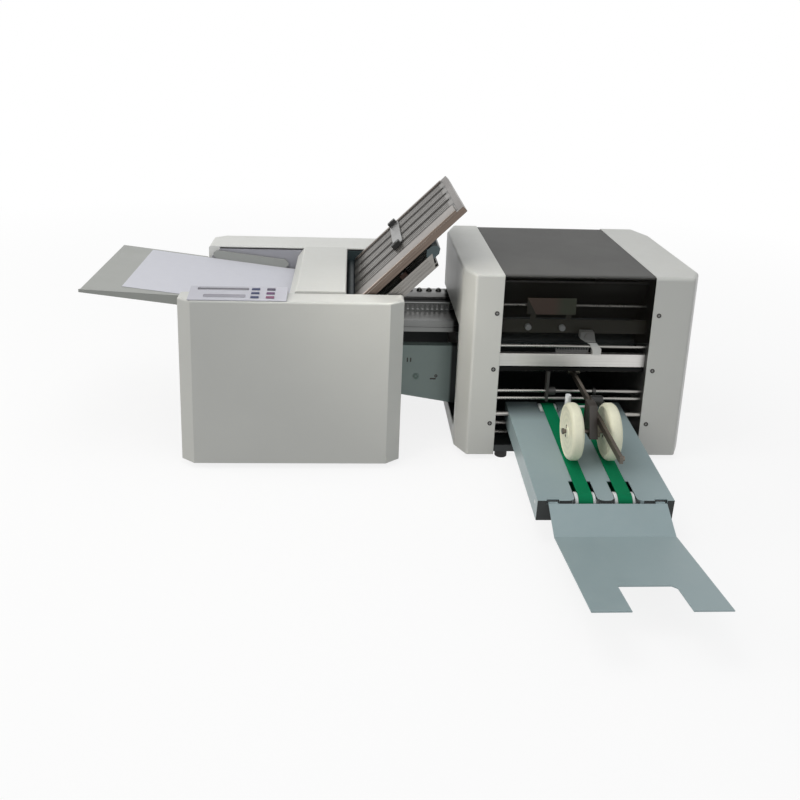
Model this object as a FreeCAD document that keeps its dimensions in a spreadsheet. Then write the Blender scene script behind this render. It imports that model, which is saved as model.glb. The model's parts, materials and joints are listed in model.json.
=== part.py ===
# Paper folding machine with a second, crosswise folding unit and a belt delivery.
# Millimetres throughout: X runs the way the sheet travels, Y to the back, Z up from the table.
import FreeCAD, Part
import math
import os
import Sketcher

os.makedirs("parts", exist_ok=True)
doc = FreeCAD.newDocument("PaperFolder")

SIZES = {
    # covers of the folding unit
    "unit_left": -463,
    "unit_right": 14,
    "cover_front": 20,
    "throat_front": 77,
    "throat_spare": 71,
    "rear_cover_deep": 111,
    "cover_bottom": 12,
    "cover_top": 386,
    "wall": 2.5,
    "bevel_long": 30,
    "bevel_deep": 22,
    "rear_return": 28,
    "edge_round": 5,
    # frame of the folding unit
    "frame_left": -455,
    "frame_right": 6,
    "frame_top": 380,
    "plate": 4,
    "foot_high": 18,
    "foot_radius": 14,
    "pan": 3,
    "tie_radius": 6,
    "run_fit": 0.08,
    "seat_gap": 0.3,
    # feed deck and stock
    "tray_tip": -675,
    "tray_tip_high": 384.4,
    "tray_slope": 7.1,
    "tray_sheet": 2.5,
    "tray_inner": -465.3,
    "deck_end": -236,
    "sheet_left": -601,
    "sheet_length": 417,
    "sheet_inset": 60,
    "sheet_width": 297,
    "stack_thick": 1,
    "guide_thick": 4,
    "guide_high": 22,
    "guide_left": -450,
    "guide_right": -260,
    # feed roller and fold rollers
    "feed_x": -190,
    "feed_radius": 22,
    "feed_wide": 60,
    "roller_radius": 10.5,
    "roller_pitch": 21.3,
    "roller_x": -98.9,
    "roller_z": 347.4,
    "journal": 4,
    "roller_inset": 7,
    "pulley_radius": 16,
    "belt_thick": 2,
    "belt_wide": 12,
    "motor_x": -345,
    "motor_z": 95,
    "motor_radius": 36,
    # head cover
    "head_left": -236,
    "head_shoulder": -218,
    "head_right": -110,
    "head_top": 390,
    "head_bottom": 350,
    "head_hinge_x": -117,
    "head_hinge_z": 376,
    "head_pin": 3,
    # control panel
    "panel_left": -439,
    "panel_right": -234,
    "panel_front": 22,
    "panel_rear": 76,
    "panel_lip": 1.6,
    "panel_tilt": 13,
    "button_long": 17,
    "button_wide": 7,
    "button_gap": 0.3,
    "button_stroke": 1.5,
    "button_high": 1.9,
    "button_column_a": -301,
    "button_column_b": -269,
    "button_row": 12,
    "button_pitch": 16,
    # fold plates, all at one slant
    "fold_slant": 45,
    "upper_start": 190,
    "upper_long": 317.6,
    "upper_face": 318.2,
    "upper_thick": 14,
    "grid_sheet": 3,
    "plate_inset": 6,
    "side_bar": 12,
    "cap_bar": 14.6,
    "rail_wide": 56,
    "rail_high": 6,
    "wide_slot": 11,
    "fine_slot": 4,
    "slot_inset": 75,
    "slot_pitch": 64.8,
    "fine_count": 4,
    "upper_stop_at": 138,
    "stop_lead": 13.8,
    "second_start": 175,
    "second_long": 215,
    "second_face": 287.2,
    "second_thick": 28,
    "second_rake": 16,
    "second_stop_at": 136,
    "inner_start": -62,
    "inner_long": 210,
    "inner_gap": 8,
    # bridge between the units
    "rail_front": 225,
    "rail_deep": 15,
    "rail_low": 245,
    "rail_top": 273,
    "bridge_end": 222,
    "deck_top": 266,
    "register_front": 313,
    "register_thick": 6,
    "register_high": 21,
    "ball_rail_front": 404,
    "ball_rail_rear": 457,
    "skirt_front": 230,
    "skirt_end": 165,
    "skirt_top": 208,
    "apron_low": 70,
    "mouth_low": 50,
    # second unit
    "second_left": 145,
    "second_right": 675,
    "left_wide": 86,
    "right_wide": 111,
    "second_front": 62.5,
    "second_rear": 505.5,
    "second_top": 439.5,
    "corner_wide": 24,
    "corner_deep": 45,
    "back_corner_deep": 72,
    "right_shoulder": 8,
    "frame_thick": 6,
    "rail_face": 80,
    "knob_bar_front": 95.5,
    "cross_radius": 15,
    "cross_pitch": 30.3,
    "cross_y": 190,
    "cross_z": 285,
    "cross_journal": 5,
    # hood
    "hood_sheet": 3,
    "hood_top": 438.8,
    "hood_front": 66,
    "hood_drop": 285,
    "hood_hinge_y": 492,
    "hood_hinge_z": 430,
    "hood_pin": 2.5,
    # delivery conveyor
    "belt_slope": 4.65,
    "delivery_left": 260,
    "delivery_right": 526,
    "delivery_front": -252,
    "delivery_high": 90.8,
    "delivery_long": 363,
    "delivery_side": 44.4,
    "delivery_sheet": 2,
    "belt_left_x": 355,
    "belt_right_x": 432,
    "green_wide": 28,
    "belt_inner": 17,
    "belt_outer": 19,
    "pulley_near": 20,
    "pulley_far": 350,
    "cheek_high": 1,
    "notch_wide": 44,
    "notch_long": 62,
    "land_round": 12,
    "recess_deep": 5,
    "underpan_long": 150,
    # weight wheels and their arm
    "wheel_radius": 58,
    "wheel_wide": 25,
    "wheel_along": 145,
    "axle_radius": 4,
    "arm_x": 408,
    "arm_thick": 7,
    "arm_high": 14,
    "arm_tip": -265,
    "pivot_y": 115,
    "pivot_z": 200,
    # stacker tray
    "stacker_left": 278.6,
    "stacker_right": 507.5,
    "stacker_sheet": 2,
    "hook_wide": 18.5,
    "hook_low": -7.6,
    "hook_high": -2.6,
    "peg_radius": 1.6,
}

dims = doc.addObject("Spreadsheet::Sheet", "Dims")
for row, (word, number) in enumerate(SIZES.items(), start=1):
    dims.set("A%d" % row, word)
    dims.set("B%d" % row, str(number))
    dims.setAlias("B%d" % row, word)
doc.recompute()


class Size:
    """A length or angle that keeps its formula, so each sketch stays tied to the sheet."""

    def __init__(self, value, formula=None):
        self.value = float(value)
        self.formula = formula or "(%r)" % float(value)

    def _join(self, other, sign, value):
        return Size(value, "(%s %s %s)" % (self.formula, sign, other.formula))

    def __add__(self, other):
        other = size(other)
        return self._join(other, "+", self.value + other.value)

    def __sub__(self, other):
        other = size(other)
        return self._join(other, "-", self.value - other.value)

    def __mul__(self, other):
        other = size(other)
        return self._join(other, "*", self.value * other.value)

    def __truediv__(self, other):
        other = size(other)
        return self._join(other, "/", self.value / other.value)

    def __radd__(self, other):
        return size(other) + self

    def __rsub__(self, other):
        return size(other) - self

    def __rmul__(self, other):
        return size(other) * self

    def __neg__(self):
        return Size(-self.value, "(-%s)" % self.formula)


def size(number):
    return number if isinstance(number, Size) else Size(number)


def function_of(name, result, angle):
    return Size(result(math.radians(angle.value)), "%s(%s)" % (name, angle.formula))


def sin(angle):
    return function_of("sin", math.sin, angle)


def cos(angle):
    return function_of("cos", math.cos, angle)


def tan(angle):
    return function_of("tan", math.tan, angle)


def root(number):
    return Size(math.sqrt(number.value), "sqrt(%s)" % number.formula)


class Named:
    pass


d = Named()
for word, number in SIZES.items():
    setattr(d, word, Size(number, "Dims." + word))

# places that follow from the widest sheet the throat takes
d.sheet_front = d.throat_front + d.sheet_inset
d.throat_rear = d.throat_front + d.sheet_width + d.throat_spare
d.cover_rear = d.throat_rear + d.rear_cover_deep
d.roller_start = d.throat_front + d.roller_inset
d.roller_end = d.throat_rear - d.roller_inset
d.plate_front = d.throat_front + d.plate_inset
d.plate_rear = d.throat_rear - d.plate_inset
d.slot_first = d.plate_front + d.slot_inset

bodies = []


def new_body(node, x=0, y=0, z=0, axis=None, angle=None):
    body = doc.addObject("PartDesign::Body", node)
    body.Label = node
    if axis:
        turn = FreeCAD.Rotation(FreeCAD.Vector(*axis), angle.value)
        body.Placement = FreeCAD.Placement(FreeCAD.Vector(), turn)
        body.setExpression("Placement.Rotation.Angle", angle.formula)
    for letter, length in zip("xyz", (x, y, z)):
        body.setExpression("Placement.Base." + letter, size(length).formula)
    bodies.append(body)
    return body


def origin_part(body, role):
    return [item for item in body.Origin.OriginFeatures if item.Role == role][0]


def box(x0, y0, x1, y1):
    return [(x0, y0), (x1, y0), (x1, y1), (x0, y1)]


def pin_point(sketch, rules, formulas, geometry, point, place):
    for kind, length in zip(("DistanceX", "DistanceY"), place):
        length = size(length)
        rules.append(Sketcher.Constraint(kind, -1, 1, geometry, point, length.value))
        formulas.append(length.formula)


def draw(body, name, plane, level, loops=(), rounds=(), ovals=()):
    """Sketch on one of the body's own planes: corner loops, circles (x, y, r), ovals (x0, x1, y, r)."""
    sketch = body.newObject("Sketcher::SketchObject", name + "_sketch")
    sketch.AttachmentSupport = [(origin_part(body, plane + "_Plane"), "")]
    sketch.MapMode = "FlatFace"
    shift = -size(level) if plane == "XZ" else size(level)
    sketch.setExpression("AttachmentOffset.Base.z", shift.formula)
    shapes = []
    joins = []
    rules = []
    formulas = []
    for loop in loops:
        first = len(shapes)
        spots = [FreeCAD.Vector(size(u).value, size(v).value, 0) for u, v in loop]
        for index, spot in enumerate(spots):
            following = (index + 1) % len(spots)
            shapes.append(Part.LineSegment(spot, spots[following]))
            joins.append(Sketcher.Constraint("Coincident", first + index, 2, first + following, 1))
            pin_point(sketch, rules, formulas, first + index, 1, loop[index])
    for x, y, radius in rounds:
        x, y, radius = size(x), size(y), size(radius)
        centre = FreeCAD.Vector(x.value, y.value, 0)
        shapes.append(Part.Circle(centre, FreeCAD.Vector(0, 0, 1), radius.value))
        pin_point(sketch, rules, formulas, len(shapes) - 1, 3, (x, y))
        rules.append(Sketcher.Constraint("Radius", len(shapes) - 1, radius.value))
        formulas.append(radius.formula)
    for x0, x1, y, radius in ovals:
        x0, x1, y, radius = size(x0), size(x1), size(y), size(radius)
        first = len(shapes)
        up = FreeCAD.Vector(0, 0, 1)
        ends = [FreeCAD.Vector(x0.value, y.value, 0), FreeCAD.Vector(x1.value, y.value, 0)]
        reach = FreeCAD.Vector(0, radius.value, 0)
        near = Part.Circle(ends[0], up, radius.value)
        far = Part.Circle(ends[1], up, radius.value)
        shapes.append(Part.LineSegment(ends[0] - reach, ends[1] - reach))
        shapes.append(Part.ArcOfCircle(far, -math.pi / 2, math.pi / 2))
        shapes.append(Part.LineSegment(ends[1] + reach, ends[0] + reach))
        shapes.append(Part.ArcOfCircle(near, math.pi / 2, 3 * math.pi / 2))
        for index in range(4):
            following = first + (index + 1) % 4
            joins.append(Sketcher.Constraint("Coincident", first + index, 2, following, 1))
        pin_point(sketch, rules, formulas, first, 1, (x0, y - radius))
        pin_point(sketch, rules, formulas, first, 2, (x1, y - radius))
        pin_point(sketch, rules, formulas, first + 2, 1, (x1, y + radius))
        pin_point(sketch, rules, formulas, first + 2, 2, (x0, y + radius))
        for index, middle in ((first + 1, x1), (first + 3, x0)):
            rules.append(Sketcher.Constraint("DistanceX", -1, 1, index, 3, middle.value))
            formulas.append(middle.formula)
    sketch.addGeometry(shapes, False)
    if joins:
        sketch.addConstraint(joins)
    start = len(joins)
    sketch.addConstraint(rules)
    for offset, formula in enumerate(formulas):
        sketch.setExpression("Constraints[%d]" % (start + offset), formula)
    sketch.Visibility = False
    return sketch


def prism(body, name, plane, low, high, loops=(), rounds=(), ovals=()):
    feature = body.newObject("PartDesign::Pad", name)
    feature.Profile = draw(body, name, plane, low, loops, rounds, ovals)
    feature.setExpression("Length", (size(high) - size(low)).formula)
    feature.Reversed = plane == "XZ"
    body.Tip = feature
    return feature


def cut(body, name, plane, low, high, loops=(), rounds=(), ovals=()):
    feature = body.newObject("PartDesign::Pocket", name)
    feature.Profile = draw(body, name, plane, low, loops, rounds, ovals)
    feature.setExpression("Length", (size(high) - size(low)).formula)
    feature.Reversed = plane != "XZ"
    body.Tip = feature
    return feature


def turned(body, name, axis, loops, kind="PartDesign::Revolution"):
    """Profile points are (along the axis, radius)."""
    plane = {"X": "XZ", "Y": "YZ", "Z": "XZ"}[axis]
    if axis == "Z":
        loops = [[(radius, along) for along, radius in loop] for loop in loops]
    sketch = draw(body, name, plane, 0, loops)
    feature = body.newObject(kind, name)
    feature.Profile = sketch
    feature.ReferenceAxis = (sketch, ["V_Axis" if axis == "Z" else "H_Axis"])
    feature.Angle = 360
    body.Tip = feature
    return feature


def repeat(body, feature, direction, count, pitch):
    pattern = body.newObject("PartDesign::LinearPattern", feature.Name + "_row")
    pattern.Originals = [feature]
    pattern.Direction = (origin_part(body, direction + "_Axis"), [""])
    pattern.Occurrences = count
    pattern.setExpression("Length", (size(pitch) * (count - 1)).formula)
    body.Tip = pattern
    return pattern


def round_off(body, name, radius, chosen):
    doc.recompute()
    base = body.Tip
    edges = base.Shape.Edges
    names = ["Edge%d" % (index + 1) for index, edge in enumerate(edges) if chosen(edge)]
    feature = body.newObject("PartDesign::Fillet", name)
    feature.Base = (base, names)
    feature.setExpression("Radius", size(radius).formula)
    body.Tip = feature
    return feature


def ends_of(edge):
    return [vertex.Point for vertex in edge.Vertexes]


def lies_at(edge, letter, length):
    return all(abs(getattr(spot, letter) - size(length).value) < 0.01 for spot in ends_of(edge))


def runs_along(edge, letter):
    spots = ends_of(edge)
    if len(spots) < 2:
        return False
    gap = spots[1] - spots[0]
    return abs(getattr(gap, letter)) > 0.999 * gap.Length > 0


def half_turn(adjacent, opposite):
    """Tangent of half the angle whose tangent is opposite / adjacent."""
    return (root(adjacent * adjacent + opposite * opposite) - adjacent) / opposite


def deck_at(x):
    """Height of the feed deck's top face."""
    return d.tray_tip_high - (x - d.tray_tip) * tan(d.tray_slope)


def slant_x(along, across):
    return along * cos(d.fold_slant) - across * sin(d.fold_slant)


def slant_z(along, across):
    return along * sin(d.fold_slant) + across * cos(d.fold_slant)


def slanted_body(node, along, across):
    """A body whose own X climbs the fold plates' slant and whose own Z stands off it."""
    return new_body(node, slant_x(along, across), 0, slant_z(along, across), (0, -1, 0), d.fold_slant)


# ---- where the rollers stand ----

step_x = d.roller_pitch * sin(d.fold_slant)
step_z = d.roller_pitch * cos(d.fold_slant)
roller_spots = [(d.roller_x, d.roller_z), (d.roller_x, d.roller_z - d.roller_pitch)]
for index in range(1, 5):
    roller_spots.append((d.roller_x + step_x * index, d.roller_z - d.roller_pitch - step_z * index))

feed_lift = (d.feed_radius + d.seat_gap) / cos(d.tray_slope) + d.stack_thick
feed_spot = (d.feed_x, deck_at(d.feed_x) + feed_lift)
plate_in_front = d.throat_front + d.plate
plate_in_rear = d.throat_rear - d.plate
inner_left = d.second_left + d.left_wide
inner_right = d.second_right - d.right_wide
shell_front = d.second_front + d.wall
shell_rear = d.second_rear - d.wall
shell_top = d.second_top - d.wall

# ---- folding unit: covers ----

shift_long = d.wall * half_turn(d.bevel_long, d.bevel_deep)
shift_deep = d.wall * half_turn(d.bevel_deep, d.bevel_long)

cover = new_body("front_cover")
prism(cover, "shell", "XY", d.cover_bottom, d.cover_top, [[
    (d.unit_left + d.bevel_long, d.cover_front),
    (d.unit_right - d.bevel_long, d.cover_front),
    (d.unit_right, d.cover_front + d.bevel_deep),
    (d.unit_right, d.throat_front),
    (d.unit_left, d.throat_front),
    (d.unit_left, d.cover_front + d.bevel_deep)]])
round_off(cover, "rounded_top", d.edge_round, lambda edge: lies_at(edge, "z", d.cover_top)
          and edge.CenterOfMass.y < d.throat_front.value - 1)
cut(cover, "hollow", "XY", d.cover_bottom, d.cover_top - d.wall, [[
    (d.unit_left + d.bevel_long + shift_long, d.cover_front + d.wall),
    (d.unit_right - d.bevel_long - shift_long, d.cover_front + d.wall),
    (d.unit_right - d.wall, d.cover_front + d.bevel_deep + shift_deep),
    (d.unit_right - d.wall, d.throat_front),
    (d.unit_left + d.wall, d.throat_front),
    (d.unit_left + d.wall, d.cover_front + d.bevel_deep + shift_deep)]])
posts = [(x, z, 6) for x in (d.unit_left + 48, d.unit_right - 48) for z in (60, 330)]
prism(cover, "posts", "XZ", d.cover_front + d.wall, d.throat_front, rounds=posts)

cover = new_body("rear_cover")
prism(cover, "shell", "XY", d.cover_bottom, d.cover_top, [[
    (d.unit_left, d.throat_rear),
    (d.unit_right, d.throat_rear),
    (d.unit_right, d.cover_rear - d.bevel_deep),
    (d.unit_right - d.bevel_long, d.cover_rear),
    (d.unit_left + d.bevel_long, d.cover_rear),
    (d.unit_left, d.cover_rear - d.bevel_deep)]])
round_off(cover, "rounded_top", d.edge_round, lambda edge: lies_at(edge, "z", d.cover_top)
          and edge.CenterOfMass.y > d.throat_rear.value + 1)
cut(cover, "hollow", "XY", d.cover_bottom, d.cover_top - d.wall, [[
    (d.unit_left + d.wall, d.throat_rear + d.wall),
    (d.unit_left + d.rear_return, d.throat_rear + d.wall),
    (d.unit_left + d.rear_return, d.throat_rear),
    (d.unit_right - d.wall, d.throat_rear),
    (d.unit_right - d.wall, d.cover_rear - d.bevel_deep - shift_deep),
    (d.unit_right - d.bevel_long - shift_long, d.cover_rear - d.wall),
    (d.unit_left + d.bevel_long + shift_long, d.cover_rear - d.wall),
    (d.unit_left + d.wall, d.cover_rear - d.bevel_deep - shift_deep)]])
posts = [(d.unit_right - 48, z, 6) for z in (60, 330)]
prism(cover, "posts", "XZ", d.throat_rear, d.cover_rear - d.wall, rounds=posts)
inlet_middle = d.cover_rear - 42
cut(cover, "inlet_hole", "YZ", d.unit_left, d.unit_left + d.wall,
    [box(inlet_middle - 14, 56, inlet_middle + 14, 76)])
cut(cover, "bridge_notch", "YZ", d.unit_right - d.wall - 1, d.unit_right + 1,
    [box(d.throat_rear - 1, d.deck_top - 19, d.ball_rail_rear + 1, d.deck_top + 13)])
vent = cut(cover, "vent", "XZ", d.cover_rear - d.wall, d.cover_rear, [box(-400, 60, -394, 130)])
repeat(cover, vent, "X", 14, 14)

inlet = new_body("power_inlet")
prism(inlet, "flange", "YZ", d.unit_left - 2, d.unit_left,
      [box(inlet_middle - 18, 52, inlet_middle + 18, 80)])
prism(inlet, "socket", "YZ", d.unit_left, d.unit_left + 26,
      [box(inlet_middle - 13.7, 56.3, inlet_middle + 13.7, 75.7)])
cut(inlet, "well", "YZ", d.unit_left - 2, d.unit_left + 20,
    [box(inlet_middle - 11, 59, inlet_middle + 11, 73)])
prism(inlet, "blades", "YZ", d.unit_left + 2, d.unit_left + 20, [
    box(inlet_middle - 7, 63, inlet_middle - 5, 67), box(inlet_middle + 5, 63, inlet_middle + 7, 67),
    box(inlet_middle - 1, 67, inlet_middle + 1, 71)])

# ---- folding unit: frame ----


plates = new_body("main_frames")
outline = [
    (d.frame_left, d.foot_high), (d.frame_right, d.foot_high),
    (d.frame_right, d.frame_top - 8), (d.frame_right - 8, d.frame_top),
    (d.frame_left + 20, d.frame_top), (d.frame_left, d.frame_top - 20)]
prism(plates, "front_plate", "XZ", d.throat_front, plate_in_front, [outline])
prism(plates, "rear_plate", "XZ", plate_in_rear, d.throat_rear, [outline])
journals = [(x, z, d.journal + d.run_fit) for x, z in roller_spots + [feed_spot]]
journals.append((d.head_hinge_x, d.head_hinge_z, d.head_pin + d.run_fit))
cut(plates, "bearings", "XZ", d.throat_front, d.throat_rear, rounds=journals)
cut(plates, "motor_bearing", "XZ", plate_in_rear, d.throat_rear,
    rounds=[(d.motor_x, d.motor_z, d.journal + d.run_fit)])

base = new_body("base_pans")
prism(base, "pan", "XY", d.foot_high, d.foot_high + d.pan,
      [box(d.frame_left, plate_in_front, d.frame_right, plate_in_rear)])
prism(base, "left_lip", "YZ", d.frame_left, d.frame_left + d.pan,
      [box(plate_in_front, d.foot_high, plate_in_rear, 346)])

prism(base, "exit_panel", "YZ", d.frame_right - d.pan, d.frame_right,
      [box(plate_in_front, d.foot_high, plate_in_rear, d.deck_top)])

under_deck = (d.tray_sheet + d.tie_radius) / cos(d.tray_slope) + 0.1
ties = new_body("tie_bars")
prism(ties, "bars", "XZ", plate_in_front, plate_in_rear, rounds=[
    (x, deck_at(x) - under_deck, d.tie_radius) for x in (d.frame_left + 15, d.deck_end - 26)] + [
    (d.deck_end + 14, deck_at(d.deck_end + 14) - under_deck, d.tie_radius),
    (d.feed_x + 50, 318.6, d.tie_radius),
    (d.frame_left + 25, 60, d.tie_radius), (d.frame_right - 36, 60, d.tie_radius),
    (d.frame_right - 36, 170, d.tie_radius)])

feet = new_body("rubber_feet")
spots = [(x, y, d.foot_radius) for x in (d.frame_left + 30, d.frame_right - 31)
         for y in (plate_in_front + 17, plate_in_rear - 17)]
spots += [(x, y, d.foot_radius) for x in (inner_left + 21, inner_right - 21)
          for y in (d.second_front + 21.5, d.second_rear - 35.5)]
prism(feet, "pads", "XY", 0, d.foot_high, rounds=spots)

# ---- feed deck, guides and stock ----

tray = new_body("feed_tray")
tray_rear = d.throat_rear
side_line = [
    (d.tray_tip, d.tray_tip_high + 3.4), (d.tray_inner, 377),
    (d.tray_inner, 355.4), (d.tray_tip, d.tray_tip_high - 3.4)]
deck_loop = [
    (d.tray_tip, deck_at(d.tray_tip)), (d.tray_inner, deck_at(d.tray_inner)),
    (d.tray_inner, deck_at(d.tray_inner) - d.tray_sheet), (d.tray_tip, deck_at(d.tray_tip) - d.tray_sheet)]
neck_loop = [
    (d.tray_inner, deck_at(d.tray_inner)), (d.deck_end, deck_at(d.deck_end)),
    (d.deck_end, deck_at(d.deck_end) - d.tray_sheet),
    (d.tray_inner, deck_at(d.tray_inner) - d.tray_sheet)]
rear_line = [
    (d.tray_tip, deck_at(d.tray_tip)), (d.tray_inner, deck_at(d.tray_inner)),
    (d.tray_inner, 345), (d.tray_tip, d.tray_tip_high - 3.4)]
prism(tray, "deck", "XZ", d.throat_front, tray_rear, [deck_loop])
prism(tray, "front_side", "XZ", d.throat_front, d.throat_front + d.tray_sheet, [side_line])
prism(tray, "rear_side", "XZ", tray_rear - d.tray_sheet, tray_rear, [rear_line])
prism(tray, "neck", "XZ", plate_in_front + 0.5, plate_in_rear - 0.5, [neck_loop])
tip_end = d.tray_tip + d.tray_sheet
prism(tray, "tip_lip", "XZ", d.throat_front, tray_rear, [[
    (d.tray_tip, deck_at(d.tray_tip)), (tip_end, deck_at(tip_end)),
    (tip_end, deck_at(tip_end) - 3.1), (d.tray_tip, d.tray_tip_high - 3.4)]])

stack = new_body("paper_stack")
sheet_right = d.sheet_left + d.sheet_length
prism(stack, "sheets", "XZ", d.sheet_front, d.sheet_front + d.sheet_width, [[
    (d.sheet_left, deck_at(d.sheet_left)), (sheet_right, deck_at(sheet_right)),
    (sheet_right, deck_at(sheet_right) + d.stack_thick),
    (d.sheet_left, deck_at(d.sheet_left) + d.stack_thick)]])


def blade(body, front):
    """Upright edge guide that follows the deck's slope."""
    low = d.seat_gap
    first = d.guide_left
    last = d.guide_right
    high = d.guide_high
    return prism(body, "blade", "XZ", front, front + d.guide_thick, [[
        (first + 8, deck_at(first + 8) + low), (last - 8, deck_at(last - 8) + low),
        (last, deck_at(last) + 8), (last, deck_at(last) + high - 8),
        (last - 8, deck_at(last - 8) + high), (first + 8, deck_at(first + 8) + high),
        (first, deck_at(first) + high - 8), (first, deck_at(first) + 8)]])


guide = new_body("side_guide")
blade(guide, d.sheet_front - d.guide_thick - 1)
blade(tray, d.sheet_front + d.sheet_width + 0.5)

guide = new_body("infeed_guide")
bend_x = d.feed_x + 25
lead_x = d.roller_x - 14
lead_z = d.roller_z - 13
sheet = size(2)
guide_start = d.deck_end + 2
prism(guide, "sheet", "XZ", plate_in_front, plate_in_rear, [[
    (guide_start, deck_at(guide_start)), (bend_x, deck_at(bend_x)), (lead_x, lead_z),
    (lead_x, lead_z - sheet), (bend_x, deck_at(bend_x) - sheet),
    (guide_start, deck_at(guide_start) - sheet)]])
mid_y = (d.throat_front + d.throat_rear) / 2
pad_half = size(15)
window = pad_half + d.seat_gap
cut(guide, "pad_window", "XY", 300, 340,
    [box(d.feed_x - window, mid_y - window, d.feed_x + window, mid_y + window)])

pad = new_body("separator_pad")
pad_left = d.feed_x - pad_half
pad_right = d.feed_x + pad_half
prism(pad, "block", "XZ", mid_y - pad_half, mid_y + pad_half, [[
    (pad_left, deck_at(pad_left)), (pad_right, deck_at(pad_right)),
    (pad_right, deck_at(pad_right) - 8), (pad_left, deck_at(pad_left) - 8)]])

# ---- rollers ----


def journal_roller(node, x, z, start, end, radius, journal, rear_end):
    roller = new_body(node, x, 0, z)
    turned(roller, "profile", "Y", [[
        (d.throat_front, 0), (d.throat_front, journal), (start, journal), (start, radius),
        (end, radius), (end, journal), (rear_end, journal), (rear_end, 0)]])
    return roller


journal_roller("feed_roller", feed_spot[0], feed_spot[1], mid_y - d.feed_wide / 2,
               mid_y + d.feed_wide / 2, d.feed_radius, d.journal, d.throat_rear)
pulley_start = d.throat_rear + 4
pulley_end = pulley_start + d.belt_wide + 4
for index, (x, z) in enumerate(roller_spots, start=1):
    rear_end = pulley_end if index == 2 else d.throat_rear
    roller = journal_roller("fold_roller_%d" % index, x, z, d.roller_start, d.roller_end,
                            d.roller_radius, d.journal, rear_end)
    if index == 2:
        driven = roller


def belt_pulley(body, name, bore):
    flange = size(1.6)
    rim = d.pulley_radius + d.belt_thick + 1
    groove = d.pulley_radius - d.seat_gap
    turned(body, name, "Y", [[
        (pulley_start, bore), (pulley_start, rim), (pulley_start + flange, rim),
        (pulley_start + flange, groove), (pulley_end - flange, groove), (pulley_end - flange, rim),
        (pulley_end, rim), (pulley_end, bore)]])


belt_pulley(driven, "rim", d.journal)

pulley = new_body("motor_pulley", d.motor_x, 0, d.motor_z)
belt_pulley(pulley, "rim", d.journal - 1)
turned(pulley, "spindle", "Y", [[
    (plate_in_rear - 20, 0), (plate_in_rear - 20, d.journal), (pulley_end, d.journal), (pulley_end, 0)]])

motor = new_body("drive_motor", d.motor_x, 0, d.motor_z)
motor_front = plate_in_rear - 110
turned(motor, "case", "Y", [[
    (motor_front, 0), (motor_front, d.motor_radius - 4), (motor_front + 6, d.motor_radius),
    (plate_in_rear, d.motor_radius), (plate_in_rear, d.journal + 2),
    (plate_in_rear - 22, d.journal + 2), (plate_in_rear - 22, 0)]])

run_x = roller_spots[1][0] - d.motor_x
run_z = roller_spots[1][1] - d.motor_z
belt_run = root(run_x * run_x + run_z * run_z)
belt_angle = Size(math.degrees(math.atan2(run_z.value, run_x.value)),
                  "atan(%s / %s)" % (run_z.formula, run_x.formula))
belt = new_body("drive_belt", d.motor_x, 0, d.motor_z, (0, -1, 0), belt_angle)
belt_front = pulley_start + 2
belt_rear = pulley_end - 2
prism(belt, "loop", "XZ", belt_front, belt_rear, ovals=[
    (0, belt_run, 0, d.pulley_radius + d.belt_thick), (0, belt_run, 0, d.pulley_radius)])

# ---- head cover ----

head = new_body("head_cover")
side_gap = size(0.5)
head_front = plate_in_front + side_gap
head_rear = plate_in_rear - side_gap
head_wall = size(3)
prism(head, "shell", "XZ", head_front, head_rear, [[
    (d.head_left, d.head_bottom), (d.head_left, d.head_bottom + 14), (d.head_shoulder, d.head_top),
    (d.head_right, d.head_top), (d.head_right, d.head_hinge_z - 10),
    (d.head_right - 26, d.head_hinge_z - 10), (d.head_right - 26, d.head_bottom + 8),
    (d.head_left + 8, d.head_bottom + 8), (d.head_left + 8, d.head_bottom)]])
round_off(head, "rounded", 4, lambda edge: runs_along(edge, "y")
          and edge.CenterOfMass.z > d.head_top.value - 1)
cut(head, "hollow", "XZ", head_front + head_wall, head_rear - head_wall, [[
    (d.head_left + head_wall, d.head_bottom), (d.head_left + head_wall, d.head_bottom + 13),
    (d.head_shoulder + 2, d.head_top - head_wall), (d.head_right - head_wall, d.head_top - head_wall),
    (d.head_right - head_wall, d.head_hinge_z - 10), (d.head_right - 26, d.head_hinge_z - 10),
    (d.head_right - 26, d.head_bottom)]])
pin_loop = [(d.head_hinge_x, d.head_hinge_z, d.head_pin)]
prism(head, "front_pin", "XZ", d.throat_front, head_front + head_wall, rounds=pin_loop)
prism(head, "rear_pin", "XZ", head_rear - head_wall, d.throat_rear, rounds=pin_loop)

# ---- control panel ----

panel_run = (d.panel_rear - d.panel_front) / cos(d.panel_tilt)
panel_lift = d.cover_top + d.panel_lip
panel_back = d.panel_lip + (d.panel_rear - d.panel_front) * tan(d.panel_tilt)
tilt_x = (1, 0, 0)


def on_panel(node, x, up):
    """A body standing on the panel's slope, its own Z square to it."""
    return new_body(node, x, d.panel_front + up * cos(d.panel_tilt),
                    panel_lift + up * sin(d.panel_tilt), tilt_x, d.panel_tilt)


def drop(back, depth):
    """Corner straight below a point of the slope, in the slope's own directions."""
    return (back - depth * sin(d.panel_tilt), -(depth * cos(d.panel_tilt)))


buttons = []
for letter, column in (("a", d.button_column_a), ("b", d.button_column_b)):
    for row in range(3):
        buttons.append(("button_%s%d" % (letter, row + 1), column, d.button_row + d.button_pitch * row))

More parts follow.
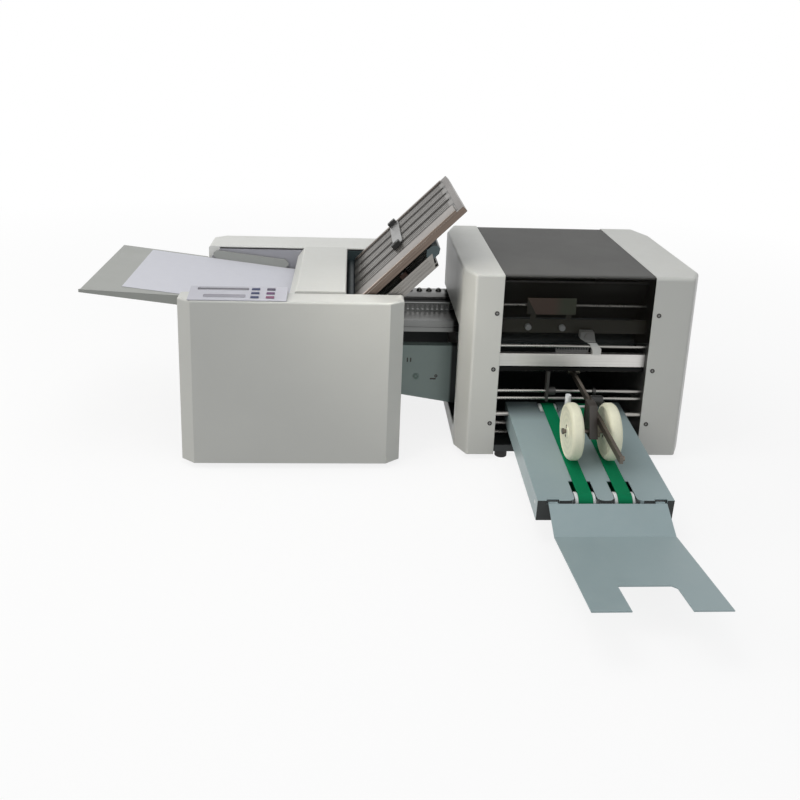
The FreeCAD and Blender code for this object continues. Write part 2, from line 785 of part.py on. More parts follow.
panel = on_panel("control_panel", 0, 0)
prism(panel, "wedge", "YZ", d.panel_left, d.panel_right, [[
    (0, 0), (panel_run, 0), drop(panel_run, panel_back), drop(size(0), d.panel_lip)]])
half_long = d.button_long / 2 + d.button_gap
half_wide = d.button_wide / 2 + d.button_gap
wells = []
for node, column, up in buttons:
    wells.append((column, up))
well_depth = d.button_stroke + 1.4
cut(panel, "wells", "XY", -well_depth, 1, [
    box(column - half_long, up - half_wide, column + half_long, up + half_wide) for column, up in wells])
window_left = size(-424)
window_right = size(-315)
window_low = size(41)
window_high = size(48)
cut(panel, "window_seat", "XY", -1, 1, [box(window_left, window_low, window_right, window_high)])

for node, column, up in buttons:
    key = on_panel(node, column, up)
    prism(key, "cap", "XY", -1.2, d.button_high,
          [box(-d.button_long / 2, -d.button_wide / 2, d.button_long / 2, d.button_wide / 2)])
    round_off(key, "soft_edge", 0.8, lambda edge: lies_at(edge, "z", d.button_high))

# ---- upper fold plate ----

plate_low = -d.upper_thick
bar_front = d.plate_front + d.side_bar
bar_rear = d.plate_rear - d.side_bar
cap_start = d.upper_long - d.cap_bar

frame = slanted_body("upper_plate_frame", d.upper_start, d.upper_face)
prism(frame, "bars", "XY", plate_low, 0, [[
    (0, d.plate_front), (d.upper_long, d.plate_front), (d.upper_long, d.plate_rear),
    (0, d.plate_rear), (0, bar_rear), (cap_start, bar_rear), (cap_start, bar_front), (0, bar_front)]])
round_off(frame, "rounded_end", 2, lambda edge: lies_at(edge, "x", d.upper_long) and runs_along(edge, "y"))
prism(frame, "lugs", "XY", plate_low, 0, [
    box(2, plate_in_front, 26, d.plate_front), box(2, d.plate_rear, 26, plate_in_rear)])


rail_start = d.plate_front + 2
rail_end = rail_start + d.rail_wide
prism(frame, "bright_rail", "XY", 0, d.rail_high, [box(4, rail_start, cap_start - 4, rail_end)])
round_off(frame, "rail_rounded", 5.5, lambda edge: runs_along(edge, "x")
          and lies_at(edge, "z", d.rail_high))
prism(frame, "rear_strip", "XY", 0, 2, [box(4, bar_rear + 1, cap_start - 4, d.plate_rear - 1)])

grids = slanted_body("upper_plate_grids", d.upper_start, d.upper_face)
prism(grids, "top_sheet", "XY", -d.grid_sheet, 0, [box(0, bar_front, cap_start, bar_rear)])
prism(grids, "back_sheet", "XY", plate_low, plate_low + d.grid_sheet,
      [box(0, bar_front, cap_start, bar_rear)])
half = d.wide_slot / 2
slot = cut(grids, "wide_slot", "XY", plate_low, 0,
           [box(14, d.slot_first - half, cap_start - 6, d.slot_first + half)])
repeat(grids, slot, "Y", 5, d.slot_pitch)
fine_pitch = d.slot_pitch / (d.fine_count + 1)
half = d.fine_slot / 2
fine = []
for index in range(1, 5):
    middle = d.slot_first + fine_pitch * index
    fine.append(box(20, middle - half, cap_start - 12, middle + half))
slot = cut(grids, "fine_slots", "XY", plate_low, 0, fine)
repeat(grids, slot, "Y", 4, d.slot_pitch)

stop = slanted_body("upper_fold_stop", d.upper_start + d.upper_stop_at, d.upper_face)
stop_front = d.slot_first + d.slot_pitch - d.stop_lead
stop_rear = d.plate_rear - 15
prism(stop, "bar", "XY", d.seat_gap, 4, [box(-11, stop_front + 12, 16, stop_rear - 12)])
fingers = [d.slot_first + d.slot_pitch * index for index in range(1, 4)]
prism(stop, "fingers", "XY", -(d.upper_thick - d.grid_sheet - 0.5), 1,
      [box(-3, middle - 2, 3, middle + 2) for middle in fingers])

clamps = slanted_body("upper_stop_clamps", d.upper_start + d.upper_stop_at, d.upper_face)
prism(clamps, "blocks", "XY", d.seat_gap, 13, [
    box(-11, stop_front - 3, 11, stop_front + 12), box(-11, stop_rear - 12, 11, stop_rear + 3)])
round_off(clamps, "soft_edges", 1.5, lambda edge: lies_at(edge, "z", 13))

# ---- second fold plate ----

second_low = -d.second_thick
second_bar = size(8)
frame = slanted_body("second_plate_frame", d.second_start, d.second_face)
end_shape = [(0, second_low), (d.second_long - d.second_rake, second_low), (d.second_long, 0), (0, 0)]
for name, front in (("front_bar", d.plate_front), ("rear_bar", d.plate_rear - second_bar)):
    prism(frame, name, "XZ", front, front + second_bar, [end_shape])
line = cut(frame, "groove", "XZ", d.plate_front, d.plate_front + 1.2,
           [box(10, -21, d.second_long - 18, -19)])
repeat(frame, line, "Z", 3, 7)
prism(frame, "lugs", "XY", second_low, 0, [
    box(2, plate_in_front, 40, d.plate_front), box(2, d.plate_rear, 40, plate_in_rear)])


grids = slanted_body("second_plate_grids", d.second_start, d.second_face)
inner_front = d.plate_front + second_bar
inner_rear = d.plate_rear - second_bar
for name, high, back in (("top_sheet", -11.5, 10), ("back_sheet", -22.5, 8)):
    prism(grids, name, "XY", size(high) - d.grid_sheet, high,
          [box(0, inner_front, d.second_long - back, inner_rear)])
prism(grids, "tip", "XY", -d.second_thick - 2, -d.second_thick, [
    box(40, d.plate_front, d.second_long - 8, d.plate_rear)])
slot = cut(grids, "slot", "XY", -26, -11,
           [box(16, d.plate_front + 35, d.second_long - 16, d.plate_front + 43)])
repeat(grids, slot, "Y", 14, 21.6)

end = slanted_body("second_plate_end", d.second_start + d.second_long, d.second_face)
rake = d.second_rake / d.second_thick
prism(end, "bracket", "XZ", d.plate_front, d.plate_rear, [[
    (rake * -11, -11), (0, 0), (-14, 0), (-14, 3), (-4, 13), (10, 13), (20, 4), (20, -4), (10, -11)]])

stop = slanted_body("second_fold_stop", d.second_start + d.second_stop_at, d.second_face)
prism(stop, "bar", "XY", d.seat_gap, 5, [box(-5, d.plate_front + 14, 5, d.plate_rear - 14)])
prism(stop, "knobs", "XY", d.seat_gap, 10, [
    box(-8, d.plate_front + 1, 8, d.plate_front + 14), box(-8, d.plate_rear - 14, 8, d.plate_rear - 1)])
teeth = [d.plate_front + 39 + 21.6 * index for index in (1, 5, 8, 12)]
prism(stop, "teeth", "XY", -22, 1, [box(-3, middle - 2.5, 3, middle + 2.5) for middle in teeth])

# ---- inner fold plates, down and left of the rollers ----

inner = slanted_body("inner_fold_plates", d.inner_start, size(0))
gap_half = d.inner_gap / 2
nips = []
for upper, lower in ((1, 2), (3, 4)):
    middle_x = (roller_spots[upper][0] + roller_spots[lower][0]) / 2
    middle_z = (roller_spots[upper][1] + roller_spots[lower][1]) / 2
    nips.append(middle_z * cos(d.fold_slant) - middle_x * sin(d.fold_slant))
for index, across in enumerate(nips, start=1):
    for side, name in ((1, "upper"), (-1, "lower")):
        near = across + gap_half * side
        far = near + d.grid_sheet * side
        low, high = (near, far) if side > 0 else (far, near)
        prism(inner, "%s_sheet_%d" % (name, index), "XY", low, high,
              [box(0, plate_in_front, d.inner_long, plate_in_rear)])
    prism(inner, "stop_bar_%d" % index, "XY", across - gap_half, across + gap_half,
          [box(0, plate_in_front, 8, plate_in_rear)])

# ---- bridge ----

comb = new_body("carrier_rail")
prism(comb, "bar", "YZ", d.frame_right, d.bridge_end, [[
    (d.rail_front, d.rail_low), (d.rail_front + d.rail_deep, d.rail_low),
    (d.rail_front + d.rail_deep, d.rail_top), (d.rail_front, d.rail_top),
    (d.rail_front, d.rail_top - 11), (d.rail_front + 1.5, d.rail_top - 12),
    (d.rail_front + 1.5, d.rail_top - 16), (d.rail_front, d.rail_top - 17)]])

deck = new_body("carrier_deck")
deck_sheet = size(3)
prism(deck, "sheet", "YZ", d.frame_right, d.bridge_end, [
    box(d.rail_front + d.rail_deep, d.deck_top - deck_sheet, d.ball_rail_rear, d.deck_top)])
prism(deck, "hem", "YZ", d.frame_right, d.bridge_end, [
    box(d.ball_rail_rear - deck_sheet, d.deck_top - 18, d.ball_rail_rear, d.deck_top)])

prism(deck, "apron", "YZ", d.unit_right + 1, d.skirt_end, [
    box(d.ball_rail_rear - deck_sheet, d.apron_low, d.ball_rail_rear, d.deck_top - 10)])

prism(comb, "blade", "XZ", d.register_front, d.register_front + d.register_thick, [
    box(d.frame_right + 4, d.deck_top, d.bridge_end - 4, d.deck_top + d.register_high)])
slot = cut(comb, "slot", "XZ", d.register_front, d.register_front + d.register_thick, [
    box(d.frame_right + 10, d.deck_top + 4, d.frame_right + 16, d.deck_top + 17)])
repeat(comb, slot, "X", 17, 12)

rail = new_body("ball_rail")
prism(rail, "bar", "YZ", d.frame_right, d.bridge_end, [[
    (d.ball_rail_front, d.deck_top), (d.ball_rail_rear, d.deck_top),
    (d.ball_rail_rear, d.deck_top + 12), (d.ball_rail_front + 12, d.deck_top + 12),
    (d.ball_rail_front, d.deck_top + 6)]])
hole = cut(rail, "hole", "XY", d.deck_top + 5, d.deck_top + 14, rounds=[(30, 438, 8)])
repeat(rail, hole, "X", 8, 25)

skirt = new_body("carrier_plate")
skirt_sheet = size(3)
skirt_slope = size(0.17)
skirt_low = size(84)


def skirt_edge(x):
    return skirt_low - (x - d.frame_right) * skirt_slope


prism(skirt, "plate", "XZ", d.skirt_front, d.skirt_front + skirt_sheet, [[
    (d.frame_right, skirt_edge(d.frame_right)), (d.skirt_end, skirt_edge(d.skirt_end)),
    (d.skirt_end, d.skirt_top), (d.frame_right, d.skirt_top)]])
prism(skirt, "top_flange", "XZ", d.skirt_front, d.skirt_front + 22, [
    box(d.frame_right, d.skirt_top - skirt_sheet, d.skirt_end, d.skirt_top)])
prism(skirt, "end_flange", "XZ", d.skirt_front, d.skirt_front + 22, [[
    (d.skirt_end - skirt_sheet, skirt_edge(d.skirt_end - skirt_sheet)),
    (d.skirt_end, skirt_edge(d.skirt_end)),
    (d.skirt_end, d.skirt_top), (d.skirt_end - skirt_sheet, d.skirt_top)]])
prism(skirt, "boss", "XZ", d.skirt_front - 3, d.skirt_front, rounds=[(62, 128, 8)])
cut(skirt, "marks", "XZ", d.skirt_front, d.skirt_front + 1.2, [
    box(38, 165, 41, 176), box(46, 165, 49, 176), box(96, 120, 110, 124)])

# ---- second unit ----

front_long = d.wall * half_turn(d.corner_wide, d.corner_deep)
front_deep = d.wall * half_turn(d.corner_deep, d.corner_wide)
back_long = d.wall * half_turn(d.corner_wide, d.back_corner_deep)
back_deep = d.wall * half_turn(d.back_corner_deep, d.corner_wide)


def side_cover(node, outer, open_side, sign, shoulder):
    """Shell closed on its outer side; sign is 1 where the outer side is the left one."""
    cover = new_body(node)
    corner = outer + d.corner_wide * sign
    inside = outer + d.wall * sign
    prism(cover, "shell", "XY", d.cover_bottom, d.second_top, [[
        (corner, d.second_front), (open_side, d.second_front), (open_side, d.second_rear),
        (corner, d.second_rear), (outer, d.second_rear - d.back_corner_deep),
        (outer, d.second_front + d.corner_deep)]])
    side = outer.value + sign * (d.corner_wide.value + 1)
    round_off(cover, "soft_corners", 9, lambda edge: runs_along(edge, "z")
              and (side - edge.CenterOfMass.x) * sign > 0)
    round_off(cover, "rounded_top", shoulder, lambda edge: lies_at(edge, "z", d.second_top)
              and (open_side.value - edge.CenterOfMass.x) * sign > 1)
    cut(cover, "hollow", "XY", d.cover_bottom, shell_top, [[
        (corner + front_long * sign, shell_front), (open_side, shell_front),
        (open_side, shell_rear), (corner + back_long * sign, shell_rear),
        (inside, d.second_rear - d.back_corner_deep - back_deep),
        (inside, d.second_front + d.corner_deep + front_deep)]])
    return cover


cover = side_cover("unit2_cover_left", d.second_left, inner_left, 1, d.edge_round)
cut(cover, "bridge_mouth", "YZ", d.second_left - 1, d.second_left + d.corner_wide,
    [box(127, d.mouth_low, d.ball_rail_rear + 4, 300)])
side_cover("unit2_cover_right", d.second_right, inner_right, -1, d.right_shoulder)

cross_spots = [(d.cross_y, d.cross_z), (d.cross_y, d.cross_z - d.cross_pitch),
               (d.cross_y - d.cross_pitch, d.cross_z - d.cross_pitch)]


plates = new_body("unit2_frames")
for name, low in (("left_plate", inner_left - d.frame_thick), ("right_plate", inner_right)):
    prism(plates, name, "YZ", low, low + d.frame_thick,
          [box(shell_front, d.foot_high, shell_rear, shell_top)])
holes = [(y, z, d.cross_journal + d.run_fit) for y, z in cross_spots]
holes.append((d.hood_hinge_y, d.hood_hinge_z, d.hood_pin + d.run_fit))
cut(plates, "bearings", "YZ", inner_left - d.frame_thick, inner_right + d.frame_thick, rounds=holes)
cut(plates, "bridge_window", "YZ", inner_left - d.frame_thick, inner_left, [
    box(d.rail_front - 9, d.rail_low - 21, d.ball_rail_rear + 13, d.deck_top + 46)])

prism(base, "second_pan", "XY", d.foot_high, d.foot_high + 5, [
    box(inner_left, shell_front + 1, inner_right, shell_rear)])
prism(base, "second_lip", "XZ", shell_front + 1, shell_front + 1 + d.pan,
      [box(inner_left, d.foot_high, inner_right, d.foot_high + 16)])
prism(base, "second_back", "XZ", shell_rear - d.pan, shell_rear,
      [box(inner_left, d.foot_high, inner_right, shell_top - 15)])

rail = new_body("front_rail")
rail_rear = d.rail_face + 12
prism(rail, "wide_bar", "YZ", inner_left, inner_right, [box(d.rail_face, 222, rail_rear, 252)])
prism(rail, "thin_bar", "YZ", inner_left, inner_right, [box(d.rail_face, 211, rail_rear, 219)])

belt_tilt = d.belt_slope
rod_y = shell_front + 7
conveyor_rod = (rod_y, d.delivery_high + (rod_y - d.delivery_front) * tan(belt_tilt) - 7.4)
prism(ties, "second_unit_rods", "YZ", inner_left, inner_right, rounds=[
    (84, 270, 4), (84, 161, 4), (84, 143, 4), (106, 358, 3), (128, 84, 5), (128, 59, 5), (128, 35, 5),
    (conveyor_rod[0], conveyor_rod[1], 5), (d.pivot_y, d.pivot_z, 5)])
prism(ties, "left_hanger", "YZ", 344, 350, [[
    (76, 210.7), (94, 210.7), (92, 170), (92, 138), (76, 138), (76, 170)]])
prism(ties, "hanger_collar", "YZ", 350, 366, rounds=[(84, 161, 9)])
bar_low = size(296)
bar_top = size(328)
prism(rail, "knob_bar", "YZ", inner_left, inner_right, [
    box(d.knob_bar_front, bar_low, d.knob_bar_front + 3, bar_top)])
prism(rail, "gauge_plate", "XZ", d.knob_bar_front, d.knob_bar_front + 3, [[
    (300, bar_top), (312, bar_top), (312, 339), (380, 339), (380, bar_top), (392, bar_top),
    (392, 339), (401, 339), (401, 377), (291, 377), (291, 339), (300, 339)]])

knobs = new_body("guide_knobs")
knob_front = d.knob_bar_front - 9
prism(knobs, "knobs", "XZ", knob_front, d.knob_bar_front, rounds=[(295, 311, 7), (372, 310, 7)])
round_off(knobs, "soft", 2, lambda edge: lies_at(edge, "y", knob_front))

prism(knobs, "guide_block", "XZ", 76, 92, [[
    (411, 306), (441, 306), (446, 284), (461, 266), (461, 252.3), (442, 252.3), (442, 262),
    (434, 277), (411, 290)]])
prism(knobs, "block_knob", "XZ", 71.5, 76, rounds=[(427, 296, 8)])
cut(knobs, "rod_bore", "YZ", 400, 470, rounds=[(84, 270, 4 + d.run_fit)])
prism(rail, "rack", "XZ", 89, 92, [box(361, 252, 436, 266)])
tooth = cut(rail, "tooth_gap", "XZ", 89, 92, [box(364, 259, 367, 266)])
repeat(rail, tooth, "X", 12, 6)

for index, (y, z) in enumerate(cross_spots, start=1):
    roller = new_body("cross_roller_%d" % index, 0, y, z)
    start = inner_left - d.frame_thick
    finish = inner_right + d.frame_thick
    turned(roller, "profile", "X", [[
        (start, 0), (start, d.cross_journal), (inner_left + 3, d.cross_journal),
        (inner_left + 3, d.cross_radius), (inner_right - 3, d.cross_radius),
        (inner_right - 3, d.cross_journal), (finish, d.cross_journal), (finish, 0)]])

prism(deck, "cross_sheet", "YZ", inner_left, inner_right, [box(222, 258, 480, 261)])

plate = new_body("cross_fold_plate")
for index, offset in enumerate((0, 11), start=1):
    prism(plate, "sheet_%d" % index, "YZ", inner_left, inner_right, [[
        (size(162) + offset, 308), (size(165) + offset, 308),
        (size(104) + offset, 412), (size(101) + offset, 412)]])
prism(plate, "stop_bar", "YZ", inner_left, inner_right, [[
    (104, 412), (112, 412), (116.4, 404.5), (108.4, 404.5)]])

# ---- hood ----

hood = new_body("hood")
hood_left = inner_left + side_gap
hood_right = inner_right - side_gap
hood_inside = d.hood_top - d.hood_sheet
prism(hood, "sheet", "YZ", hood_left, hood_right, [[
    (d.hood_front, d.hood_drop), (d.hood_front + d.hood_sheet, d.hood_drop),
    (d.hood_front + d.hood_sheet, hood_inside), (d.hood_hinge_y, hood_inside),
    (d.hood_hinge_y, d.hood_top), (d.hood_front, d.hood_top)]])
round_off(hood, "bend", 10, lambda edge: runs_along(edge, "x") and lies_at(edge, "z", d.hood_top)
          and lies_at(edge, "y", d.hood_front))
round_off(hood, "bend_inside", 7, lambda edge: runs_along(edge, "x") and lies_at(edge, "z", hood_inside)
          and lies_at(edge, "y", d.hood_front + d.hood_sheet))
prism(hood, "hinge_leaf", "YZ", hood_left, hood_right, [
    box(d.hood_hinge_y - d.hood_sheet, d.hood_hinge_z, d.hood_hinge_y, hood_inside)])
prism(hood, "barrel", "YZ", hood_left, hood_right, rounds=[(d.hood_hinge_y, d.hood_hinge_z, 3.5)])
prism(hood, "pins", "YZ", inner_left - d.frame_thick, inner_right + d.frame_thick,
      rounds=[(d.hood_hinge_y, d.hood_hinge_z, d.hood_pin)])

# ---- delivery conveyor ----


def on_conveyor(node):
    """Own X across the machine, own Y up the belt slope from its front edge, own Z square to it."""
    return new_body(node, 0, d.delivery_front, d.delivery_high, tilt_x, d.belt_slope)


belt_centres = (d.belt_left_x, d.belt_right_x)
axle_drop = d.seat_gap - d.belt_inner
notch_half = d.notch_wide / 2
left_hook = d.stacker_left + 2.4
right_hook = d.stacker_right - 18.5

conveyor = on_conveyor("conveyor_tray")
sheet = d.delivery_sheet
prism(conveyor, "deck", "XY", -sheet, 0, [box(d.delivery_left, 0, d.delivery_right, d.delivery_long)])
prism(conveyor, "sides", "XY", -d.delivery_side, -sheet, [
    box(d.delivery_left, 0, d.delivery_left + sheet, d.delivery_long),
    box(d.delivery_right - sheet, 0, d.delivery_right, d.delivery_long)])
prism(conveyor, "front_wall", "XZ", 0, sheet, [
    box(d.delivery_left, -d.delivery_side, d.delivery_right, -sheet)])
prism(conveyor, "underpan", "XY", -d.delivery_side, sheet - d.delivery_side, [
    box(d.delivery_left, 0, d.delivery_right, d.underpan_long)])
bend = d.land_round
land_curve = [(bend, -1), (bend, 0), (bend * 0.5, bend * 0.134), (bend * 0.134, bend * 0.5), (0, bend)]
notches = []
for x in belt_centres:
    left_side = [(x - notch_half - across, along) for across, along in land_curve]
    right_side = [(x + notch_half + across, along) for across, along in reversed(land_curve)]
    notches.append(left_side + [(x - notch_half, d.notch_long), (x + notch_half, d.notch_long)] + right_side)
cut(conveyor, "front_notches", "XY", -32, 1, notches)
cut(conveyor, "hook_recesses", "XY", -sheet - 1, 1, [
    box(left_hook - 3, -1, left_hook + d.hook_wide + 2.5, d.recess_deep),
    box(right_hook - 2, -1, right_hook + d.hook_wide + 4.5, d.recess_deep)])
cut(conveyor, "rear_notches", "XY", -3, 1, [
    box(x - notch_half, d.pulley_far - 28, x + notch_half, d.delivery_long + 1) for x in belt_centres])
cut(conveyor, "hook_slots", "XZ", -1, 3, [
    box(left_hook - 3, d.hook_low, left_hook + d.hook_wide + 2.5, d.hook_high),
    box(right_hook - 2, d.hook_low, right_hook + d.hook_wide + 4.5, d.hook_high)])
axle_hole = d.axle_radius + d.run_fit
rod_along = (conveyor_rod[0] - d.delivery_front) * cos(belt_tilt) + (
    conveyor_rod[1] - d.delivery_high) * sin(belt_tilt)
rod_off = (conveyor_rod[1] - d.delivery_high) * cos(belt_tilt) - (
    conveyor_rod[0] - d.delivery_front) * sin(belt_tilt)
cut(conveyor, "axle_holes", "YZ", d.delivery_left - 1, d.delivery_right + 1, rounds=[
    (d.pulley_near, axle_drop, axle_hole), (d.pulley_far, axle_drop, axle_hole),
    (rod_along, rod_off, 5.1)])

belts = on_conveyor("delivery_belts")
half = d.green_wide / 2
for index, x in enumerate(belt_centres, start=1):
    prism(belts, "belt_%d" % index, "YZ", x - half, x + half, ovals=[
        (d.pulley_near, d.pulley_far, axle_drop, d.belt_outer),
        (d.pulley_near, d.pulley_far, axle_drop, d.belt_inner)])


def pulley_axle(node, along):
    shift_y = along * cos(d.belt_slope) - axle_drop * sin(d.belt_slope)
    shift_z = along * sin(d.belt_slope) + axle_drop * cos(d.belt_slope)
    body = new_body(node, 0, d.delivery_front + shift_y, d.delivery_high + shift_z)
    core = d.belt_inner - d.seat_gap
    cheek = d.belt_inner + d.cheek_high
    soft = cheek - 1.5
    loop = [(d.delivery_left, 0), (d.delivery_left, d.axle_radius)]
    for x in belt_centres:
        loop += [(x - 20.5, d.axle_radius), (x - 20.5, soft), (x - 19, cheek), (x - 14.4, cheek),
                 (x - 14.4, core), (x + 14.4, core), (x + 14.4, cheek), (x + 19, cheek),
                 (x + 20.5, soft), (x + 20.5, d.axle_radius)]
    loop += [(d.delivery_right, d.axle_radius), (d.delivery_right, 0)]
    turned(body, "pulleys", "X", [loop])
    return body


pulley_axle("front_pulleys", d.pulley_near)
pulley_axle("drive_pulleys", d.pulley_far)

# ---- weight wheels on their arm ----

wheel_off = d.belt_outer - d.belt_inner + d.seat_gap * 2 + d.wheel_radius
wheel_y = d.delivery_front + d.wheel_along * cos(d.belt_slope) - wheel_off * sin(d.belt_slope)
wheel_z = d.delivery_high + d.wheel_along * sin(d.belt_slope) + wheel_off * cos(d.belt_slope)
half = d.wheel_wide / 2
bore = d.axle_radius + d.run_fit
wheels = new_body("weight_wheels", 0, wheel_y, wheel_z)
for name, x in (("left_disc", d.belt_left_x), ("right_disc", d.belt_right_x)):
    low = x - half
    high = x + half
    rim = d.wheel_radius
    turned(wheels, name, "X", [[
        (low, bore), (low, 13), (low + 2, 15), (low + 2, rim - 12),
        (low, rim - 8), (low + 2, rim - 3), (low + 7, rim),
        (high - 7, rim), (high - 2, rim - 3), (high, rim - 8),
        (high - 2, rim - 12), (high - 2, 15), (high, 13), (high, bore)]])
cut(wheels, "peg_holes", "YZ", d.belt_left_x - half - 1, d.belt_right_x + half + 1,
    rounds=[(0, -10.6, 3.2), (0, 10.6, 3.2)])

arm = new_body("wheel_arm")
axle_left = d.belt_left_x - half - 5
axle_right = d.belt_right_x + half + 5
arm_drop = (d.pivot_y - d.arm_tip) * 0.045
arm_half = d.arm_high / 2
arm_left = d.arm_x - d.arm_thick / 2
arm_right = d.arm_x + d.arm_thick / 2
prism(arm, "bar", "YZ", arm_left, arm_right, [[
    (d.arm_tip, d.pivot_z - arm_drop - arm_half), (d.pivot_y, d.pivot_z - arm_half),
    (d.pivot_y, d.pivot_z + arm_half), (d.arm_tip, d.pivot_z - arm_drop + arm_half)]])
prism(arm, "hub", "YZ", arm_left - 5, arm_right + 15, rounds=[(d.pivot_y, d.pivot_z, 10)])
collar_y = size(-35)
collar_z = d.pivot_z - (d.pivot_y - collar_y) * 0.045
prism(arm, "weight_collar", "YZ", arm_right, arm_right + 25, rounds=[(collar_y, collar_z, 12)])
prism(arm, "hanger", "YZ", arm_left, arm_right, [
    box(wheel_y - 9, wheel_z - 9, wheel_y + 9, wheel_z + 22)])
cut(arm, "pivot_bore", "YZ", arm_left - 6, arm_right + 16, rounds=[
    (d.pivot_y, d.pivot_z, 5 + d.run_fit)])
prism(arm, "axle", "YZ", axle_left - 3, axle_right + 3, rounds=[(wheel_y, wheel_z, d.axle_radius)])
for name, low in (("left_collar", axle_left - 3), ("right_collar", axle_right - 1)):
    prism(arm, name, "YZ", low, low + 4, rounds=[(wheel_y, wheel_z, 6)])
prism(arm, "end_screw", "YZ", arm_right, arm_right + 4, rounds=[
    (d.arm_tip + 8, d.pivot_z - arm_drop, 5)])

# ---- stacker tray ----

stacker = new_body("stacker_tray")
prism(stacker, "sheet", "YZ", d.stacker_left, d.stacker_right, [[
    (-262, 90.6), (-319, 58.4), (-556, 88.4), (-556, 86.4), (-319.4, 56.1), (-262, 88.3)]])
peg_y = d.delivery_front + d.delivery_sheet + 0.6
peg_z = size(85.15)
hook = [(-264, 84), (peg_y, 84), (peg_y, 86.3), (-261.7, 86.3), (-261.7, 90.4), (-264, 89.3)]
for name, low in (("left", left_hook), ("right", right_hook)):
    prism(stacker, name + "_hook", "YZ", low, low + d.hook_wide, [hook])
    prism(stacker, name + "_peg", "YZ", low, low + d.hook_wide, rounds=[(peg_y, peg_z, d.peg_radius)])
cut(stacker, "front_notch", "XY", 50, 95, [[
    (343.6, -557), (441.5, -557), (441.5, -491), (434, -483.6), (343.6, -483.6)]])

doc.recompute()

for body in bodies:
    for item in [body] + list(body.Group):
        if "Invalid" in item.State or "Error" in item.State:
            raise RuntimeError("%s: %s is in error" % (body.Label, item.Name))
    if body.Shape.isNull() or not body.Shape.isValid():
        raise RuntimeError(body.Label + " has no sound shape")
    body.Shape.exportStep("parts/" + body.Label + ".step")
print(len(bodies), "parts")
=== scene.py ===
# %% [markdown]
# # A paper folding machine with a crosswise second unit
# The machine stands on a desk in two halves. The left half feeds sheets off a sloping deck,
# folds them between rubber rollers and two slanted plates, and sends them over a short bridge.
# The right half folds them again, crosswise, and lays them on a belt under two weight wheels.
# The solids come from CAD, so this lesson gives them edges, finishes and their smallest parts.

# %% Load the solids
import json
import math

import bpy
from mathutils import Matrix, Vector

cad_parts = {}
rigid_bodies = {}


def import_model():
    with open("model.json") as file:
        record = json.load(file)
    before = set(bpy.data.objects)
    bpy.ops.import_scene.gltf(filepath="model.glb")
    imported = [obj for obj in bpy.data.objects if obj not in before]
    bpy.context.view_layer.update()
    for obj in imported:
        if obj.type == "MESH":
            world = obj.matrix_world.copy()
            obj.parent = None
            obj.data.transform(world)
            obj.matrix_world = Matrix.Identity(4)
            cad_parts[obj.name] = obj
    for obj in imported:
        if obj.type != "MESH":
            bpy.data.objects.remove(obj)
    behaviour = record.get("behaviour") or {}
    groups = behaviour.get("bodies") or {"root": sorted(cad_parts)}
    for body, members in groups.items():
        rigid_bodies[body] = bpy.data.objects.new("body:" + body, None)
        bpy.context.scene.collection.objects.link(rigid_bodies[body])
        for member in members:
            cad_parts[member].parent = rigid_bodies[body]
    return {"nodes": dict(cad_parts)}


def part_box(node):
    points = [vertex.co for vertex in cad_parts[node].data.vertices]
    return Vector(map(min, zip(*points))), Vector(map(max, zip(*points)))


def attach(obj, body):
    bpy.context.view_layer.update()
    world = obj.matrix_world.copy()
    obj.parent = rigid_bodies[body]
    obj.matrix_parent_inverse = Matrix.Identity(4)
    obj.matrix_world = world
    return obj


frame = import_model()
nodes = frame["nodes"]
bpy.context.view_layer.update()
print("solid pieces:", len(nodes))

# %% [markdown]
# ## Edges that catch the light
# Folded sheet and moulded parts never have a knife edge: the bend or the paint rounds it, and
# that thin bright line is what makes a surface look real. The edge could be rounded by hand in
# each mesh, but a Bevel modifier leaves the solid as it is. The CAD mesh is loose triangles, so
# a Weld joins them first, and a planar Decimate clears the flat faces for the bevel to run on.

# %% Soft edges on every solid piece
def soften(node, width):
    piece = nodes[node]
    piece.data.shade_smooth()
    weld = piece.modifiers.new("joined corners", "WELD")
    weld.merge_threshold = 0.00001
    flat = piece.modifiers.new("clean flats", "DECIMATE")
    flat.decimate_type = "DISSOLVE"
    flat.angle_limit = math.radians(0.5)
    edge = piece.modifiers.new("soft edge", "BEVEL")
    edge.width = width
    edge.segments = 2
    edge.limit_method = "ANGLE"
    edge.angle_limit = math.radians(32)
    shading = piece.modifiers.new("flat shading", "WEIGHTED_NORMAL")
    shading.weight = 100


usual_edge_mm = 0.35
wide_edges_mm = {"front_cover": 1.2, "rear_cover": 1.2, "head_cover": 1.0, "unit2_cover_left": 1.8,
                 "unit2_cover_right": 2.2, "control_panel": 0.6, "weight_wheels": 0.8,
                 "upper_plate_frame": 0.8, "front_rail": 0.6, "wheel_arm": 0.6}
for node in nodes:
    soften(node, wide_edges_mm.get(node, usual_edge_mm) / 1000)
print("softened:", len(nodes))

# %% [markdown]
# ## Effects that several finishes share
# Baked paint, drawn metal and moulded rubber each have a grain that repeats over many pieces.
# The grain is built once as a node group. A group gives out only colours, values and heights,
# and each material keeps its own shader, so the same grain can sit on matt or glossy paint.

# %% Helpers for node trees
def feed(tree, value, socket):
    """Sets a plain value on the socket, or links it to another node's output."""
    if isinstance(value, (int, float, tuple)):
        socket.default_value = value
    else:
        tree.links.new(value, socket)


def fill_inputs(tree, node, **values):
    for word, value in values.items():
        feed(tree, value, node.inputs[word.replace("_", " ")])
    return node


def add_node(tree, kind, settings=(), **values):
    """A new node with its settings made and its inputs filled."""
    node = tree.nodes.new(kind)
    for word, setting in dict(settings).items():
        setattr(node, word, setting)
    return fill_inputs(tree, node, **values)


print("node helpers ready")

# %% [markdown]
# Every pattern starts from a place. Object coordinates stay with the piece as it moves, and
# noise or waves read them. Spreading a value from one range to another is the step used most.

